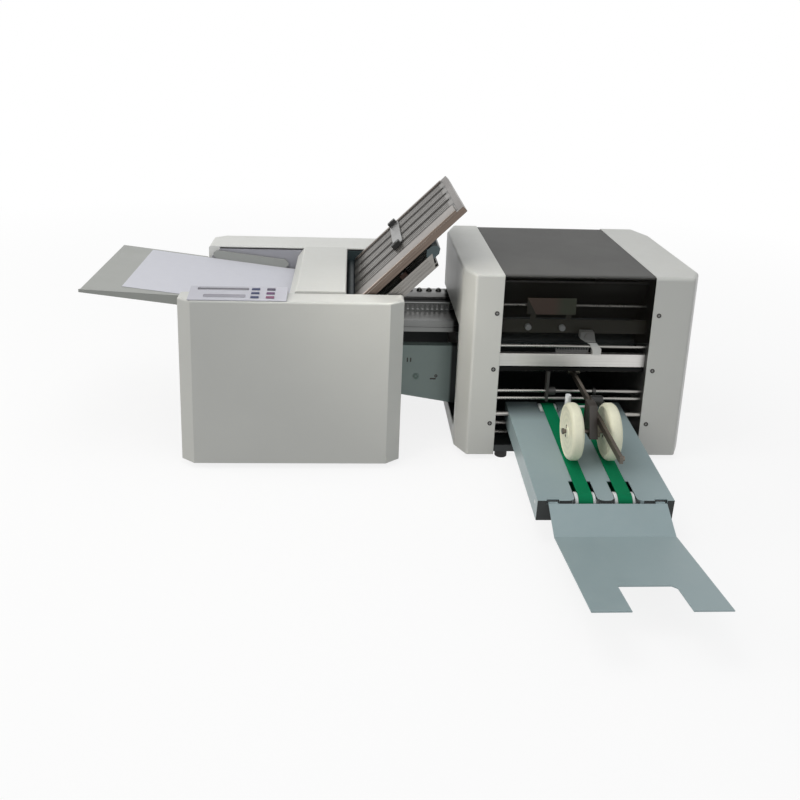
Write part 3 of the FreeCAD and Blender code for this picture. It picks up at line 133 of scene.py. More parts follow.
# %% Helpers for places and patterns
def own_place(tree):
    """The place on the piece, and with it the way each face looks."""
    return add_node(tree, "ShaderNodeTexCoord").outputs


def moved_place(tree, **values):
    """The place on the piece, shifted by a Location or turned by a Rotation."""
    moved = add_node(tree, "ShaderNodeMapping", Vector=own_place(tree)["Object"], **values)
    return moved.outputs["Vector"]


def split_axes(tree, vector):
    return add_node(tree, "ShaderNodeSeparateXYZ", Vector=vector).outputs


def noise(tree, place, scale, detail=2.0, roughness=0.5):
    clouds = add_node(tree, "ShaderNodeTexNoise", Vector=place, Scale=scale, Detail=detail,
                      Roughness=roughness)
    return clouds.outputs["Fac"]


def waves(tree, place, kind, direction, **values):
    settings = {"wave_type": kind, kind.lower() + "_direction": direction}
    return add_node(tree, "ShaderNodeTexWave", settings, Vector=place, **values).outputs["Fac"]


def spread(tree, value, low, high, to_low, to_high):
    """Takes the range from low to high on to the other two, and stops at both."""
    spreader = add_node(tree, "ShaderNodeMapRange", Value=value, From_Min=low, From_Max=high,
                        To_Min=to_low, To_Max=to_high)
    return spreader.outputs["Result"]


print("pattern helpers ready")


# %% Helpers for sums and colours
def math_step(tree, operation, first, second=0.0):
    node = add_node(tree, "ShaderNodeMath", {"operation": operation})
    feed(tree, first, node.inputs[0])
    feed(tree, second, node.inputs[1])
    return node.outputs["Value"]


def tint(tree, colour, factor):
    """The colour times a grey factor."""
    node = add_node(tree, "ShaderNodeVectorMath", {"operation": "SCALE"}, Scale=factor)
    feed(tree, colour, node.inputs[0])
    return node.outputs[0]


def vary(tree, colour, pattern, low, high, amount):
    """The colour, darker by the amount where the pattern is low and lighter where it is high."""
    darker = math_step(tree, "SUBTRACT", 1.0, amount)
    lighter = math_step(tree, "ADD", 1.0, amount)
    return tint(tree, colour, spread(tree, pattern, low, high, darker, lighter))


def blend_colours(tree, factor, first, second):
    """The first colour where the factor is 0, the second one where it is 1."""
    node = add_node(tree, "ShaderNodeMix", {"data_type": "RGBA"})
    for number, value in ((0, factor), (6, first), (7, second)):
        feed(tree, value, node.inputs[number])
    return node.outputs[2]


print("colour helpers ready")


# %% Helper for effects
def new_effect(name, *inputs):
    """A group that takes a colour and its own inputs, and gives a colour, roughness and height."""
    tree = bpy.data.node_groups.new(name, "ShaderNodeTree")
    add_socket = tree.interface.new_socket
    for word, kind, value in (("Colour", "Color", None), *inputs):
        socket = add_socket(name=word, in_out="INPUT", socket_type="NodeSocket" + kind)
        if value is not None:
            socket.default_value = value
    for word, kind in (("Colour", "Color"), ("Roughness", "Float"), ("Height", "Float")):
        add_socket(name=word, in_out="OUTPUT", socket_type="NodeSocket" + kind)
    return tree, tree.nodes.new("NodeGroupInput").outputs, tree.nodes.new("NodeGroupOutput")


print("effect helper ready")

# %% [markdown]
# ### Baked powder paint
# Powder melts into a skin with a fine ripple, called orange peel, about a millimetre across.
# Large soft clouds keep a wide panel from looking like plastic, and a little settled dust
# lightens whatever faces up. Painted steel could have scratches too, but office machines
# are kept clean, so only the ripple, the clouds and the dust are used.

# %% Paint film
def build_paint_film():
    tree, given, end = new_effect(
        "paint film", ("Ripple", "Float", 700.0), ("Clouds", "Float", 0.03),
        ("Dust", "Float", 0.1), ("Sheen", "Float", 0.4))
    place = own_place(tree)
    clouds = noise(tree, place["Object"], 5.5, 4.0, 0.55)
    clouded = vary(tree, given["Colour"], clouds, 0.3, 0.7, given["Clouds"])
    upward = spread(tree, split_axes(tree, place["Normal"])["Z"], 0.5, 1.0, 0.0, 1.0)
    specks = spread(tree, noise(tree, place["Object"], 60.0, 6.0, 0.65), 0.45, 0.7, 0.2, 1.0)
    fallen = math_step(tree, "MULTIPLY", upward, specks)
    settled = math_step(tree, "MULTIPLY", fallen, given["Dust"])
    dusty = blend_colours(tree, settled, clouded, (0.62, 0.60, 0.56, 1.0))
    smudge = spread(tree, noise(tree, place["Object"], 22.0, 3.0), 0.3, 0.7, -0.05, 0.05)
    smudged = math_step(tree, "ADD", given["Sheen"], smudge)
    ripple = noise(tree, place["Object"], given["Ripple"], 1.5)
    fill_inputs(tree, end, Colour=dusty, Roughness=math_step(tree, "ADD", smudged, settled),
                Height=ripple)
    return tree


paint_film = build_paint_film()
print(paint_film.name, [item.name for item in paint_film.interface.items_tree])

# %% [markdown]
# ### Drawn and rolled metal
# A bar pulled through a die and a sheet rolled in the mill both keep fine lines along their
# length. Stretched noise gives those lines. Which way they run differs from piece to piece, so
# the material turns and stretches the place and hands it to the group.

# %% Metal grain
def build_metal_grain():
    tree, given, end = new_effect(
        "metal grain", ("Place", "Vector", None), ("Streaks", "Float", 0.12),
        ("Polish", "Float", 0.3))
    lines = noise(tree, given["Place"], 1.0, 5.0, 0.7)
    stains = noise(tree, own_place(tree)["Object"], 9.0, 4.0, 0.6)
    lined = vary(tree, given["Colour"], lines, 0.25, 0.75, given["Streaks"])
    aged = tint(tree, lined, spread(tree, stains, 0.35, 0.7, 1.03, 0.92))
    worn = math_step(tree, "MULTIPLY", given["Streaks"],
                     spread(tree, lines, 0.2, 0.8, -0.6, 0.6))
    hazy = spread(tree, stains, 0.3, 0.75, -0.03, 0.07)
    rough = math_step(tree, "ADD", math_step(tree, "ADD", given["Polish"], worn), hazy)
    fill_inputs(tree, end, Colour=aged, Roughness=rough, Height=lines)
    return tree


metal_grain = build_metal_grain()
print(metal_grain.name)

# %% [markdown]
# ### Moulded and rubber skins
# Plastic copies the spark-etched face of its mould, and ground rubber shows tiny pores. Both are
# a fine cell pattern, with scuffs that change the gloss more than the colour.

# %% Moulded skin
def build_moulded_skin():
    tree, given, end = new_effect(
        "moulded skin", ("Grain", "Float", 1500.0), ("Scuffs", "Float", 0.1),
        ("Sheen", "Float", 0.5))
    place = own_place(tree)["Object"]
    cells = add_node(tree, "ShaderNodeTexVoronoi", {"feature": "SMOOTH_F1"}, Vector=place,
                     Scale=given["Grain"])
    scuffs = noise(tree, place, 45.0, 6.0, 0.7)
    patchy = spread(tree, scuffs, 0.35, 0.7, 0.0, given["Scuffs"])
    paler = math_step(tree, "ADD", math_step(tree, "MULTIPLY", patchy, 1.4), 0.97)
    fill_inputs(tree, end, Colour=tint(tree, given["Colour"], paler),
                Roughness=math_step(tree, "ADD", given["Sheen"], patchy),
                Height=cells.outputs["Distance"])
    return tree


moulded_skin = build_moulded_skin()
print(moulded_skin.name)

# %% [markdown]
# ## The finishes
# Each finish is one material: an effect group for what changes over the surface, and a
# Principled shader that holds what stays the same, such as metal or not, and the clear coat.
# The finishes are kept under their names, and three makers cover paint, metal and mouldings.

# %% Helpers for finishes
finishes = {}


def new_finish(name, colour, effect, depth, metallic=0.0, coat=0.0, **values):
    """A finish whose effect has its own values and makes bumps of that depth in metres."""
    finish = bpy.data.materials.new(name)
    finish.use_nodes = True
    finishes[name] = finish
    tree = finish.node_tree
    shader = fill_inputs(tree, tree.nodes["Principled BSDF"], Base_Color=colour,
                         Metallic=metallic, Coat_Weight=coat, Coat_Roughness=0.2)
    group = add_node(tree, "ShaderNodeGroup", {"node_tree": effect, "name": "effect"},
                     Colour=colour, **values).outputs
    bump = add_node(tree, "ShaderNodeBump", {"name": "bump"}, Distance=depth,
                    Height=group["Height"])
    fill_inputs(tree, shader, Base_Color=group["Colour"], Roughness=group["Roughness"],
                Normal=bump.outputs["Normal"])
    return tree


def painted(name, colour, sheen=0.42, clouds=0.03, dust=0.1, ripple=700.0):
    return new_finish(name, colour, paint_film, 0.00006,
                      Ripple=ripple, Clouds=clouds, Dust=dust, Sheen=sheen)


def metal(name, colour, stretch, tilt=0.0, streaks=0.12, polish=0.3):
    tree = new_finish(name, colour, metal_grain, 0.00003, metallic=1.0,
                      Streaks=streaks, Polish=polish)
    pulled = add_node(tree, "ShaderNodeVectorMath", {"operation": "MULTIPLY"})
    feed(tree, moved_place(tree, Rotation=(0.0, math.radians(tilt), 0.0)), pulled.inputs[0])
    feed(tree, stretch, pulled.inputs[1])
    fill_inputs(tree, tree.nodes["effect"], Place=pulled.outputs[0])
    return tree


def moulded(name, colour, sheen=0.5, scuffs=0.1, grain=1500.0, depth=0.00004, coat=0.0):
    return new_finish(name, colour, moulded_skin, depth, coat=coat,
                      Grain=grain, Scuffs=scuffs, Sheen=sheen)


def make_finishes(maker, rows):
    for name, colour, values in rows:
        maker(name, (*colour, 1.0), **values)
    print("made:", ", ".join(name for name, colour, values in rows))


# %% [markdown]
# The covers are warm light-grey powder paint, the feed deck a shade darker, the delivery trays
# blue grey. The rear cover takes a lighter copy of the cover paint, painted light on its top.
# Inside, the frame plates and bars are darker so that paper shows up against them.

# %% Painted finishes
make_finishes(painted, [
    ("cover_paint", (0.60, 0.605, 0.575), dict(sheen=0.40, clouds=0.02, dust=0.12)),
    # painted light: a lighter copy of the cover paint for the rear cover's top
    ("lit_cover_paint", (0.69, 0.695, 0.665), dict(sheen=0.40, clouds=0.02, dust=0.12)),
    ("tray_paint", (0.335, 0.345, 0.325), dict(sheen=0.38)),
    ("frame_paint", (0.33, 0.33, 0.36), dict(sheen=0.33, clouds=0.08, dust=0.05)),
    ("dark_paint", (0.035, 0.034, 0.032), dict(clouds=0.1, dust=0.03)),
    ("pan_paint", (0.11, 0.11, 0.105), dict(sheen=0.45, clouds=0.08, dust=0.06)),
    ("bridge_paint", (0.29, 0.365, 0.345), dict(sheen=0.36, clouds=0.05, dust=0.06)),
    ("delivery_paint", (0.30, 0.385, 0.40), dict(sheen=0.34, dust=0.05)),
    ("motor_paint", (0.03, 0.03, 0.035), dict(sheen=0.35, clouds=0.1, ripple=400.0)),
    ("shadow_paint", (0.016, 0.02, 0.02), dict(sheen=0.6, clouds=0.1, dust=0.02)),
    ("teal_paint", (0.035, 0.055, 0.06), dict(sheen=0.4, clouds=0.15, dust=0.0)),
    ("block_paint", (0.62, 0.62, 0.60), dict(sheen=0.4, clouds=0.08, dust=0.04)),
    ("gap_shade_brown", (0.030, 0.024, 0.020), dict(sheen=0.45, clouds=0.12, dust=0.05)),
    ("plug_green", (0.16, 0.235, 0.205), dict(sheen=0.3, clouds=0.05))])

# %% [markdown]
# Bars that run along the travel of the sheet have lines along X, the slanted fold plates have
# them up their 45 degree slope, and turned rods show faint rings, so they get short streaks.
# The stretch is how finely the noise is packed along X, Y and Z.

# %% Metal finishes
fine_lines = (6.0, 420.0, 420.0)
frame_lines = (5.0, 380.0, 380.0)
plate_look = dict(stretch=fine_lines, tilt=45.0, streaks=0.22, polish=0.36)
make_finishes(metal, [
    ("bar_aluminium", (0.66, 0.645, 0.62), dict(stretch=fine_lines, polish=0.42)),
    ("comb_aluminium", (0.20, 0.205, 0.20), dict(stretch=fine_lines, polish=0.36)),
    ("plate_aluminium", (0.25, 0.24, 0.225), plate_look),
    ("frame_aluminium", (0.33, 0.305, 0.285),
     dict(stretch=frame_lines, tilt=45.0, streaks=0.28, polish=0.34)),
    ("stop_aluminium", (0.30, 0.30, 0.295), dict(stretch=(90.0,) * 3, streaks=0.2, polish=0.34)),
    ("sheet_aluminium", (0.16, 0.16, 0.155), dict(stretch=(300.0, 8.0, 300.0), polish=0.38)),
    ("rod_steel", (0.33, 0.32, 0.30), dict(stretch=(240.0,) * 3, streaks=0.08, polish=0.26)),
    ("screw_steel", (0.075, 0.072, 0.07), dict(stretch=(500.0,) * 3, streaks=0.1, polish=0.45)),
    ("rail_grey", (0.23, 0.23, 0.225), dict(stretch=fine_lines, streaks=0.2, polish=0.4)),
    # painted shade: a darker, browner copy of the frame metal for the rail's lower band
    ("frame_shade_brown", (0.15, 0.118, 0.098),
     dict(stretch=frame_lines, tilt=45.0, streaks=0.3, polish=0.36)),
    ("arm_steel", (0.19, 0.165, 0.14), dict(stretch=(6.0, 300.0, 300.0), polish=0.4)),
    ("plate_green", (0.105, 0.11, 0.095),
     dict(stretch=fine_lines, tilt=45.0, streaks=0.25, polish=0.42)),
    ("deck_sheet", (0.23, 0.23, 0.225), dict(stretch=(8.0, 300.0, 300.0), polish=0.4)),
    ("ball_grey", (0.16, 0.16, 0.155), dict(stretch=(60.0,) * 3, streaks=0.04))])

# %% [markdown]
# The rollers are rubber, with coarser pores than the plastics have. The keys and windows of the
# panel have a clear coat. The brown stop is a dull moulding, so its mirror is turned down.

# %% Plastic and rubber finishes
key_look = dict(sheen=0.3, scuffs=0.05, coat=0.3)
make_finishes(moulded, [
    ("roller_rubber", (0.012, 0.019, 0.021), dict(sheen=0.48, scuffs=0.12, grain=900.0)),
    ("feed_rubber", (0.035, 0.032, 0.03), dict(sheen=0.6, scuffs=0.15, grain=700.0)),
    ("foot_rubber", (0.012, 0.012, 0.012), dict(sheen=0.6)),
    ("black_plastic", (0.014, 0.014, 0.014), dict(sheen=0.36, scuffs=0.08)),
    ("panel_plastic", (0.50, 0.50, 0.55), dict(sheen=0.34, scuffs=0.04, depth=0.00002)),
    ("white_plastic", (0.70, 0.72, 0.72), dict(sheen=0.35, scuffs=0.05)),
    ("clamp_brown", (0.020, 0.010, 0.007), dict(sheen=0.4, scuffs=0.08)),
    ("belt_black", (0.015, 0.015, 0.016), dict(sheen=0.55, grain=500.0, depth=0.0001)),
    ("key_blue", (0.045, 0.055, 0.12), key_look),
    ("key_red", (0.19, 0.055, 0.12), key_look),
    ("key_purple", (0.12, 0.05, 0.13), key_look),
    ("key_dark", (0.07, 0.06, 0.095), key_look),
    ("window_dark", (0.09, 0.085, 0.105), dict(sheen=0.12, scuffs=0.02, coat=0.6)),
    ("window_grey", (0.27, 0.265, 0.30), dict(sheen=0.2, scuffs=0.03, coat=0.3))])
clamp = finishes["clamp_brown"].node_tree
fill_inputs(clamp, clamp.nodes["Principled BSDF"], Specular_IOR_Level=0.12)

# %% [markdown]
# ### The cream weight wheels
# They are cast in a hard cream plastic that yellows with age, more in the grooves than on the
# rim. The distance from the wheel's own axis would need a second object, so soft rings come
# from a wave pattern moved to the axle, whose place in the machine is known. The next finishes
# change their colour in the same way, so two helpers for that come first.

# %% Wheel cream
def base_colour(tree):
    """The colour socket of the shader, and what feeds it so far."""
    socket = tree.nodes["Principled BSDF"].inputs["Base Color"]
    return socket, socket.links[0].from_socket


def multiply_colour(tree, factor):
    socket, colour = base_colour(tree)
    tree.links.new(tint(tree, colour, factor), socket)


def cover_colour(tree, factor, film):
    """Lays a film of another colour over the finish, thicker where the factor is higher."""
    socket, colour = base_colour(tree)
    tree.links.new(blend_colours(tree, factor, colour, film), socket)


axle_y, axle_z = -0.1124, 0.1630
cream = moulded("cream_plastic", (0.84, 0.83, 0.64, 1.0), sheen=0.38, scuffs=0.06,
                grain=800.0, coat=0.15)
from_axle = moved_place(cream, Location=(0.0, -axle_y, -axle_z))
rings = waves(cream, from_axle, "RINGS", "X", Scale=28.0, Distortion=1.2, Detail=2.0,
              Detail_Scale=6.0)
multiply_colour(cream, spread(cream, rings, 0.0, 1.0, 0.93, 1.03))
print("rings about y", axle_y, "z", axle_z)

# %% [markdown]
# ### The green delivery belts
# A flat belt is a woven ply under a thin green skin, and the weave shows through as a fine
# diagonal rib that grips the paper. Two crossed waves give the rib, and grey dust from the
# paper gathers between them.

# %% Belt green
belting = moulded("green_belting", (0.0015, 0.185, 0.075, 1.0), sheen=0.55, scuffs=0.08,
                  grain=900.0, depth=0.00006)
fill_inputs(belting, belting.nodes["Principled BSDF"], Specular_IOR_Level=0.08)
ribs = []
for angle in (45.0, -45.0):
    turned = moved_place(belting, Rotation=(0.0, 0.0, math.radians(angle)))
    ribs.append(waves(belting, turned, "BANDS", "X", Scale=260.0, Distortion=0.4))
weave = math_step(belting, "MULTIPLY", *ribs)
skin = belting.nodes["effect"].outputs["Height"]
fill_inputs(belting, belting.nodes["bump"], Height=math_step(belting, "ADD", skin, weave))
cover_colour(belting, spread(belting, weave, 0.0, 0.4, 0.02, 0.0), (0.20, 0.34, 0.27, 1.0))
print("crossed ribs:", len(ribs))

# %% [markdown]
# ### Stock on the deck
# Copier paper is a felt of short fibres, bright and a little blue. Seen from the side, the
# stack shows the line of each sheet, so thin bands follow the slope of the deck.

# %% Paper
deck_tilt = math.radians(7.1)
paper = moulded("copier_paper", (0.66, 0.665, 0.72, 1.0), sheen=0.75, scuffs=0.02,
                grain=2200.0, depth=0.00002)
along_deck = moved_place(paper, Rotation=(0.0, -deck_tilt, 0.0))
sheets = waves(paper, along_deck, "BANDS", "Z", Scale=1500.0, Distortion=0.6)
side = spread(paper, split_axes(paper, own_place(paper)["Normal"])["Z"], 0.5, 0.9, 1.0, 0.0)
lines = math_step(paper, "MULTIPLY", side, sheets)
multiply_colour(paper, spread(paper, lines, 0.0, 1.0, 1.0, 0.72))
print("sheets lie at", round(math.degrees(deck_tilt), 1), "degrees")

# %% [markdown]
# ### The smoked hood
# Smoked acrylic lets most of the light through when looked at squarely and mirrors the room at a
# shallow angle, so its front shows the rods inside while its top is a flat grey. Real glass
# shading would darken twice, once per face, so the smoke is an alpha on a dark skin, thicker
# where the sheet is seen at a shallow angle. What faces up gets an almost opaque grey film, a
# painted reflection of the room with a mottle like fine dust.

# %% Smoked acrylic
smoke = moulded("smoked_acrylic", (0.006, 0.005, 0.003, 1.0), sheen=0.12, scuffs=0.03,
                grain=40.0, depth=0.0015)
place = own_place(smoke)
upward = spread(smoke, split_axes(smoke, place["Normal"])["Z"], 0.3, 0.95, 0.0, 1.0)
film = spread(smoke, noise(smoke, place["Object"], 7.0, 5.0, 0.6), 0.3, 0.7, 0.85, 1.0)
# painted reflection: upward faces take a grey film for the room mirrored on the top
cover_colour(smoke, math_step(smoke, "MULTIPLY", upward, film), (0.135, 0.135, 0.13, 1.0))
glance = add_node(smoke, "ShaderNodeLayerWeight", Blend=0.5).outputs["Facing"]
thick = spread(smoke, glance, 0.1, 0.6, 0.24, 0.90)
dust_and_reflection_top = spread(smoke, upward, 0.0, 1.0, 0.0, 0.97)
fill_inputs(smoke, smoke.nodes["Principled BSDF"], IOR=1.45, Specular_IOR_Level=0.03,
            Roughness=spread(smoke, upward, 0.0, 1.0, 0.12, 0.42),
            Alpha=math_step(smoke, "MAXIMUM", thick, dust_and_reflection_top))
fill_inputs(smoke, smoke.nodes["bump"], Height=noise(smoke, place["Object"], 3.0, 1.0))
print("finishes so far:", len(finishes))

# %% [markdown]
# ### Finishes that change along a piece
# A few long pieces are not one colour from end to end, mostly because of painted shade. The rear
# frame plate is lilac grey beside the sheet deck and turns a painted blue-black shade in the
# roller bay, the bridge gets painted shade where it runs on inside the cover, painted shade also
# falls on the deck behind the comb, on the delivery tray under the hood and beside the grid's
# slots, and the upper frame is darker beyond a point up its slope. A MapRange on the place along
# the piece blends the tones at the right spot.

# %% Two tones along a piece
diagonal = math.sqrt(0.5)
along_x, along_y, up_slope = (1.0, 0.0, 0.0), (0.0, 1.0, 0.0), (diagonal, 0.0, diagonal)


def change_along(tree, direction, start, end, from_value, to_value):
    """A value that changes from start to end, both measured along the direction."""
    reach = add_node(tree, "ShaderNodeVectorMath", {"operation": "DOT_PRODUCT"})
    feed(tree, own_place(tree)["Object"], reach.inputs[0])
    feed(tree, direction, reach.inputs[1])
    return spread(tree, reach.outputs["Value"], start, end, from_value, to_value)


def blend_along_x(name, first, second, start, end):
    """The first colour up to start along X, the second one from end on."""
    tree = finishes[name].node_tree
    part = change_along(tree, along_x, start, end, 0.0, 1.0)
    fill_inputs(tree, tree.nodes["effect"], Colour=blend_colours(tree, part, first, second))


def darken_beyond(name, direction, start, end, depth):
    tree = finishes[name].node_tree
    multiply_colour(tree, change_along(tree, direction, start, end, 1.0, depth))


def shade_beside_slots(name, first, pitch, depth):
    """Paints shade on a band on both sides of each slot that repeats along Y."""
    tree = finishes[name].node_tree
    y = split_axes(tree, own_place(tree)["Object"])["Y"]
    steps = math_step(tree, "DIVIDE", math_step(tree, "SUBTRACT", y, first), pitch)
    part = math_step(tree, "FRACT", math_step(tree, "ADD", steps, 20.5))
    away = math_step(tree, "ABSOLUTE", math_step(tree, "SUBTRACT", part, 0.5))
    multiply_colour(tree, spread(tree, away, 0.15, 0.26, depth, 1.0))


# painted shade: the frame plate turns blue-black in the roller bay
blend_along_x("frame_paint", (0.33, 0.33, 0.36, 1.0), (0.035, 0.055, 0.06, 1.0),
         start=-0.150, end=-0.125)
# painted shade: the bridge goes dark where it runs on inside the second unit's cover
for name in ("comb_aluminium", "bridge_paint", "rail_grey", "deck_sheet"):
    darken_beyond(name, along_x, start=0.1425, end=0.1480, depth=0.06)
# painted shade on the deck behind the comb's blade, seen through its teeth
darken_beyond("deck_sheet", along_y, start=0.3185, end=0.3200, depth=0.08)
# painted shadow of the hood on the rear end of the delivery tray
darken_beyond("delivery_paint", along_y, start=0.030, end=0.080, depth=0.35)
darken_beyond("frame_aluminium", up_slope, start=0.4922, end=0.4930, depth=0.60)
make_finishes(metal, [("grid_aluminium", (0.25, 0.24, 0.225), plate_look)])
# painted shade on a band beside each slot of the grid plate
shade_beside_slots("grid_aluminium", first=0.156, pitch=0.0648, depth=0.38)

# %% [markdown]
# ## Dressing the solids
# A table of finish and pieces keeps the whole machine's looks in one place. A piece made of two
# finishes gets the second one on chosen faces only, picked by where they are.

# %% Give each solid its finish
rollers = [node for node in nodes if node.startswith(("fold_roller", "cross_roller"))]
dressing = {
    "cover_paint": "front_cover head_cover unit2_cover_left unit2_cover_right",
    "lit_cover_paint": "rear_cover",
    "tray_paint": "feed_tray side_guide",
    "frame_paint": "main_frames",
    "dark_paint": "unit2_frames cross_fold_plate",
    "rail_grey": "ball_rail",
    "pan_paint": "base_pans",
    "bridge_paint": "carrier_plate",
    "delivery_paint": "conveyor_tray stacker_tray",
    "motor_paint": "drive_motor",
    "bar_aluminium": "front_rail",
    "comb_aluminium": "carrier_rail",
    "grid_aluminium": "upper_plate_grids",
    "plate_aluminium": "second_plate_frame second_plate_grids inner_fold_plates",
    "frame_aluminium": "upper_plate_frame",
    "stop_aluminium": "upper_fold_stop",
    "sheet_aluminium": "infeed_guide",
    "deck_sheet": "carrier_deck",
    "rod_steel": "tie_bars motor_pulley",
    "arm_steel": "wheel_arm",
    "roller_rubber": " ".join(rollers),
    "feed_rubber": "feed_roller",
    "foot_rubber": "rubber_feet separator_pad",
    "black_plastic": "power_inlet upper_stop_clamps",
    "teal_paint": "second_plate_end",
    "clamp_brown": "second_fold_stop",
    "panel_plastic": "control_panel",
    "white_plastic": "guide_knobs front_pulleys drive_pulleys",
    "belt_black": "drive_belt",
    "key_blue": "button_a1 button_a2 button_a3",
    "key_red": "button_b1",
    "key_purple": "button_b2",
    "key_dark": "button_b3",
    "cream_plastic": "weight_wheels",
    "green_belting": "delivery_belts",
    "copier_paper": "paper_stack",
    "smoked_acrylic": "hood",
}
for name, pieces in dressing.items():
    for node in pieces.split():
        nodes[node].data.materials.clear()
        nodes[node].data.materials.append(finishes[name])
print("dressed:", sum(len(pieces.split()) for pieces in dressing.values()), "of", len(nodes))

# %% [markdown]
# ### Second finishes
# A rule looks at the middle and the direction of each face and says whether the face gets the
# second finish. A separate mesh would do too, but the solid stays whole and keeps its name.

# %% Second finishes on chosen faces
def refinish(node, name, chosen):
    mesh = nodes[node].data
    mesh.materials.append(finishes[name])
    last = len(mesh.materials) - 1
    count = 0
    for face in mesh.polygons:
        if chosen(face.center, face.normal):
            face.material_index = last
            count += 1
    print(node, "gets", name, "on", count, "faces")


make_finishes(painted, [
    ("gauge_brown", (0.105, 0.075, 0.06), dict(sheen=0.45, clouds=0.06)),
    ("bar_olive", (0.055, 0.052, 0.038), dict(sheen=0.4, clouds=0.12))])
make_finishes(metal, [("rack_grey", (0.10, 0.10, 0.10), dict(stretch=(200.0,) * 3, polish=0.4))])
# painted shade: black for the inside of slots, holes and sunk marks
make_finishes(painted, [
    ("recess_shade_black", (0.05, 0.042, 0.036), dict(sheen=0.5, clouds=0.08, dust=0.0))])
blend_along_x("gauge_brown", (0.22, 0.155, 0.125, 1.0), (0.155, 0.17, 0.12, 1.0),
         start=0.350, end=0.372)

# %% [markdown]
# The front rail carries a brown gauge over an olive bar, both set back behind its front, and a
# short toothed rack. Its foot is plain grey, and the marks sunk in the bridge plate are filled
# with painted black shade.

# %% Front rail and bridge
set_back_y, rack_y = 0.0945, 0.0885
gauge_foot, bar_foot, rail_foot = 0.3285, 0.2955, 0.2205
rack_left, rack_right, rack_foot, rack_top = 0.360, 0.437, 0.2525, 0.267
mark_front, mark_back, marks_foot = 0.2302, 0.2313, 0.11
refinish("front_rail", "gauge_brown",
         lambda spot, normal: spot.y > set_back_y and spot.z > gauge_foot)
refinish("front_rail", "bar_olive",
         lambda spot, normal: spot.y > set_back_y and bar_foot < spot.z < gauge_foot)
refinish("front_rail", "rail_grey", lambda spot, normal: spot.z < rail_foot)
refinish("front_rail", "rack_grey", lambda spot, normal: rack_left < spot.x < rack_right and
         spot.y > rack_y and rack_foot < spot.z < rack_top)
# painted shade in the sunk marks of the bridge plate
refinish("carrier_plate", "recess_shade_black",
         lambda spot, normal: mark_front < spot.y < mark_back and spot.z > marks_foot)

# %% [markdown]
# The fold plates lie on a 45 degree slope, so their slots are found by the distance square to
# it. What lies under the belt deck is found by the depth below the deck's own slight slope.

# %% Fold plates and trays
plate_underside, grid_low, grid_high = 0.3179, 0.2700, 0.2754
deck_end_y, deck_end_z, belt_tilt = -0.252, 0.0908, math.radians(4.65)
clear_of_deck, inner_left, inner_right, inner_front = 0.003, 0.262, 0.524, -0.2505
carrier_underside, second_unit_x, guide_block_x = 0.2555, 0.2, 0.395


def off_the_slope(spot):
    """Distance square to the fold plates' 45 degree slope."""
    return (spot.z - spot.x) * diagonal


def below_belt_deck(spot):
    """How far a spot lies under the top of the belt deck."""
    return deck_end_z + (spot.y - deck_end_y) * math.tan(belt_tilt) - spot.z


# painted shade on the grid's lower faces, seen through its slots
refinish("upper_plate_grids", "recess_shade_black",
         lambda spot, normal: off_the_slope(spot) < plate_underside)
# painted shade in the second plate's slots
refinish("second_plate_grids", "recess_shade_black",
         lambda spot, normal: grid_low < off_the_slope(spot) < grid_high)
refinish("second_plate_grids", "plate_green",
         lambda spot, normal: off_the_slope(spot) > grid_low and normal.z > 0.6)
refinish("carrier_deck", "shadow_paint", lambda spot, normal: spot.z < carrier_underside)
refinish("conveyor_tray", "shadow_paint",
         lambda spot, normal: below_belt_deck(spot) > clear_of_deck and
         inner_left < spot.x < inner_right and spot.y > inner_front)
refinish("base_pans", "shadow_paint", lambda spot, normal: spot.x > second_unit_x)
refinish("guide_knobs", "block_paint", lambda spot, normal: spot.x > guide_block_x)
# painted shade on the upper frame's faces that turn towards -Y
refinish("upper_plate_frame", "frame_shade_brown", lambda spot, normal: normal.y < -0.6)

# %% [markdown]
# Round parts are told apart by the distance from their own axis: each wheel has two holes, above
# and below the axle, whose insides get painted black shade, a dark hanger sits on a steel rod,
# and each roller shows a steel core. The wheel arm's weight is black as well.

# %% Wheels, rods and roller ends
hole_rise, hole_wall = 0.0106, (0.003, 0.0034)
rod_y, rod_z, rod_skin = 0.084, 0.143, 0.0042
hanger_left, hanger_right, hanger_back = 0.3435, 0.3665, 0.096
weight_x, weight_front, weight_back = 0.4118, -0.048, -0.022
fold_core, cross_core = 0.0095, 0.0140


def from_hole(spot):
    """Distance from the middle of the nearer hole in the wheels."""
    return min(math.hypot(spot.y - axle_y, spot.z - axle_z - rise)
               for rise in (-hole_rise, hole_rise))


# painted shade inside the wheels' holes
refinish("weight_wheels", "recess_shade_black",
         lambda spot, normal: hole_wall[0] < from_hole(spot) < hole_wall[1])
refinish("tie_bars", "dark_paint",
         lambda spot, normal: hanger_left < spot.x < hanger_right and spot.y < hanger_back and
         math.hypot(spot.y - rod_y, spot.z - rod_z) > rod_skin)
refinish("wheel_arm", "black_plastic",
         lambda spot, normal: spot.x > weight_x and weight_front < spot.y < weight_back)
for roller in rollers:
    box_low, box_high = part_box(roller)
    middle = (box_low + box_high) / 2
    crosswise = roller.startswith("cross")
    core = cross_core if crosswise else fold_core
    refinish(roller, "rod_steel", lambda spot, normal: math.hypot(
        spot.z - middle.z, spot.y - middle.y if crosswise else spot.x - middle.x) < core)

# %% [markdown]
# ## Small parts
# Screws, collars, balls and windows are too small for the CAD model but they are what makes a
# machine look assembled. Each is modelled once with Blender's own tools and then copied. The
# copies are joined into one piece, with their places in its mesh and its object at the origin.

# %% Helpers for modelling
def select_only(piece=None):
    for other in bpy.context.scene.objects:
        other.select_set(False)
    if piece is not None:
        piece.select_set(True)
        bpy.context.view_layer.objects.active = piece


def added():
    """The piece that the last add operator made, alone in the selection."""
    piece = bpy.context.view_layer.objects.active
    select_only(piece)
    return piece


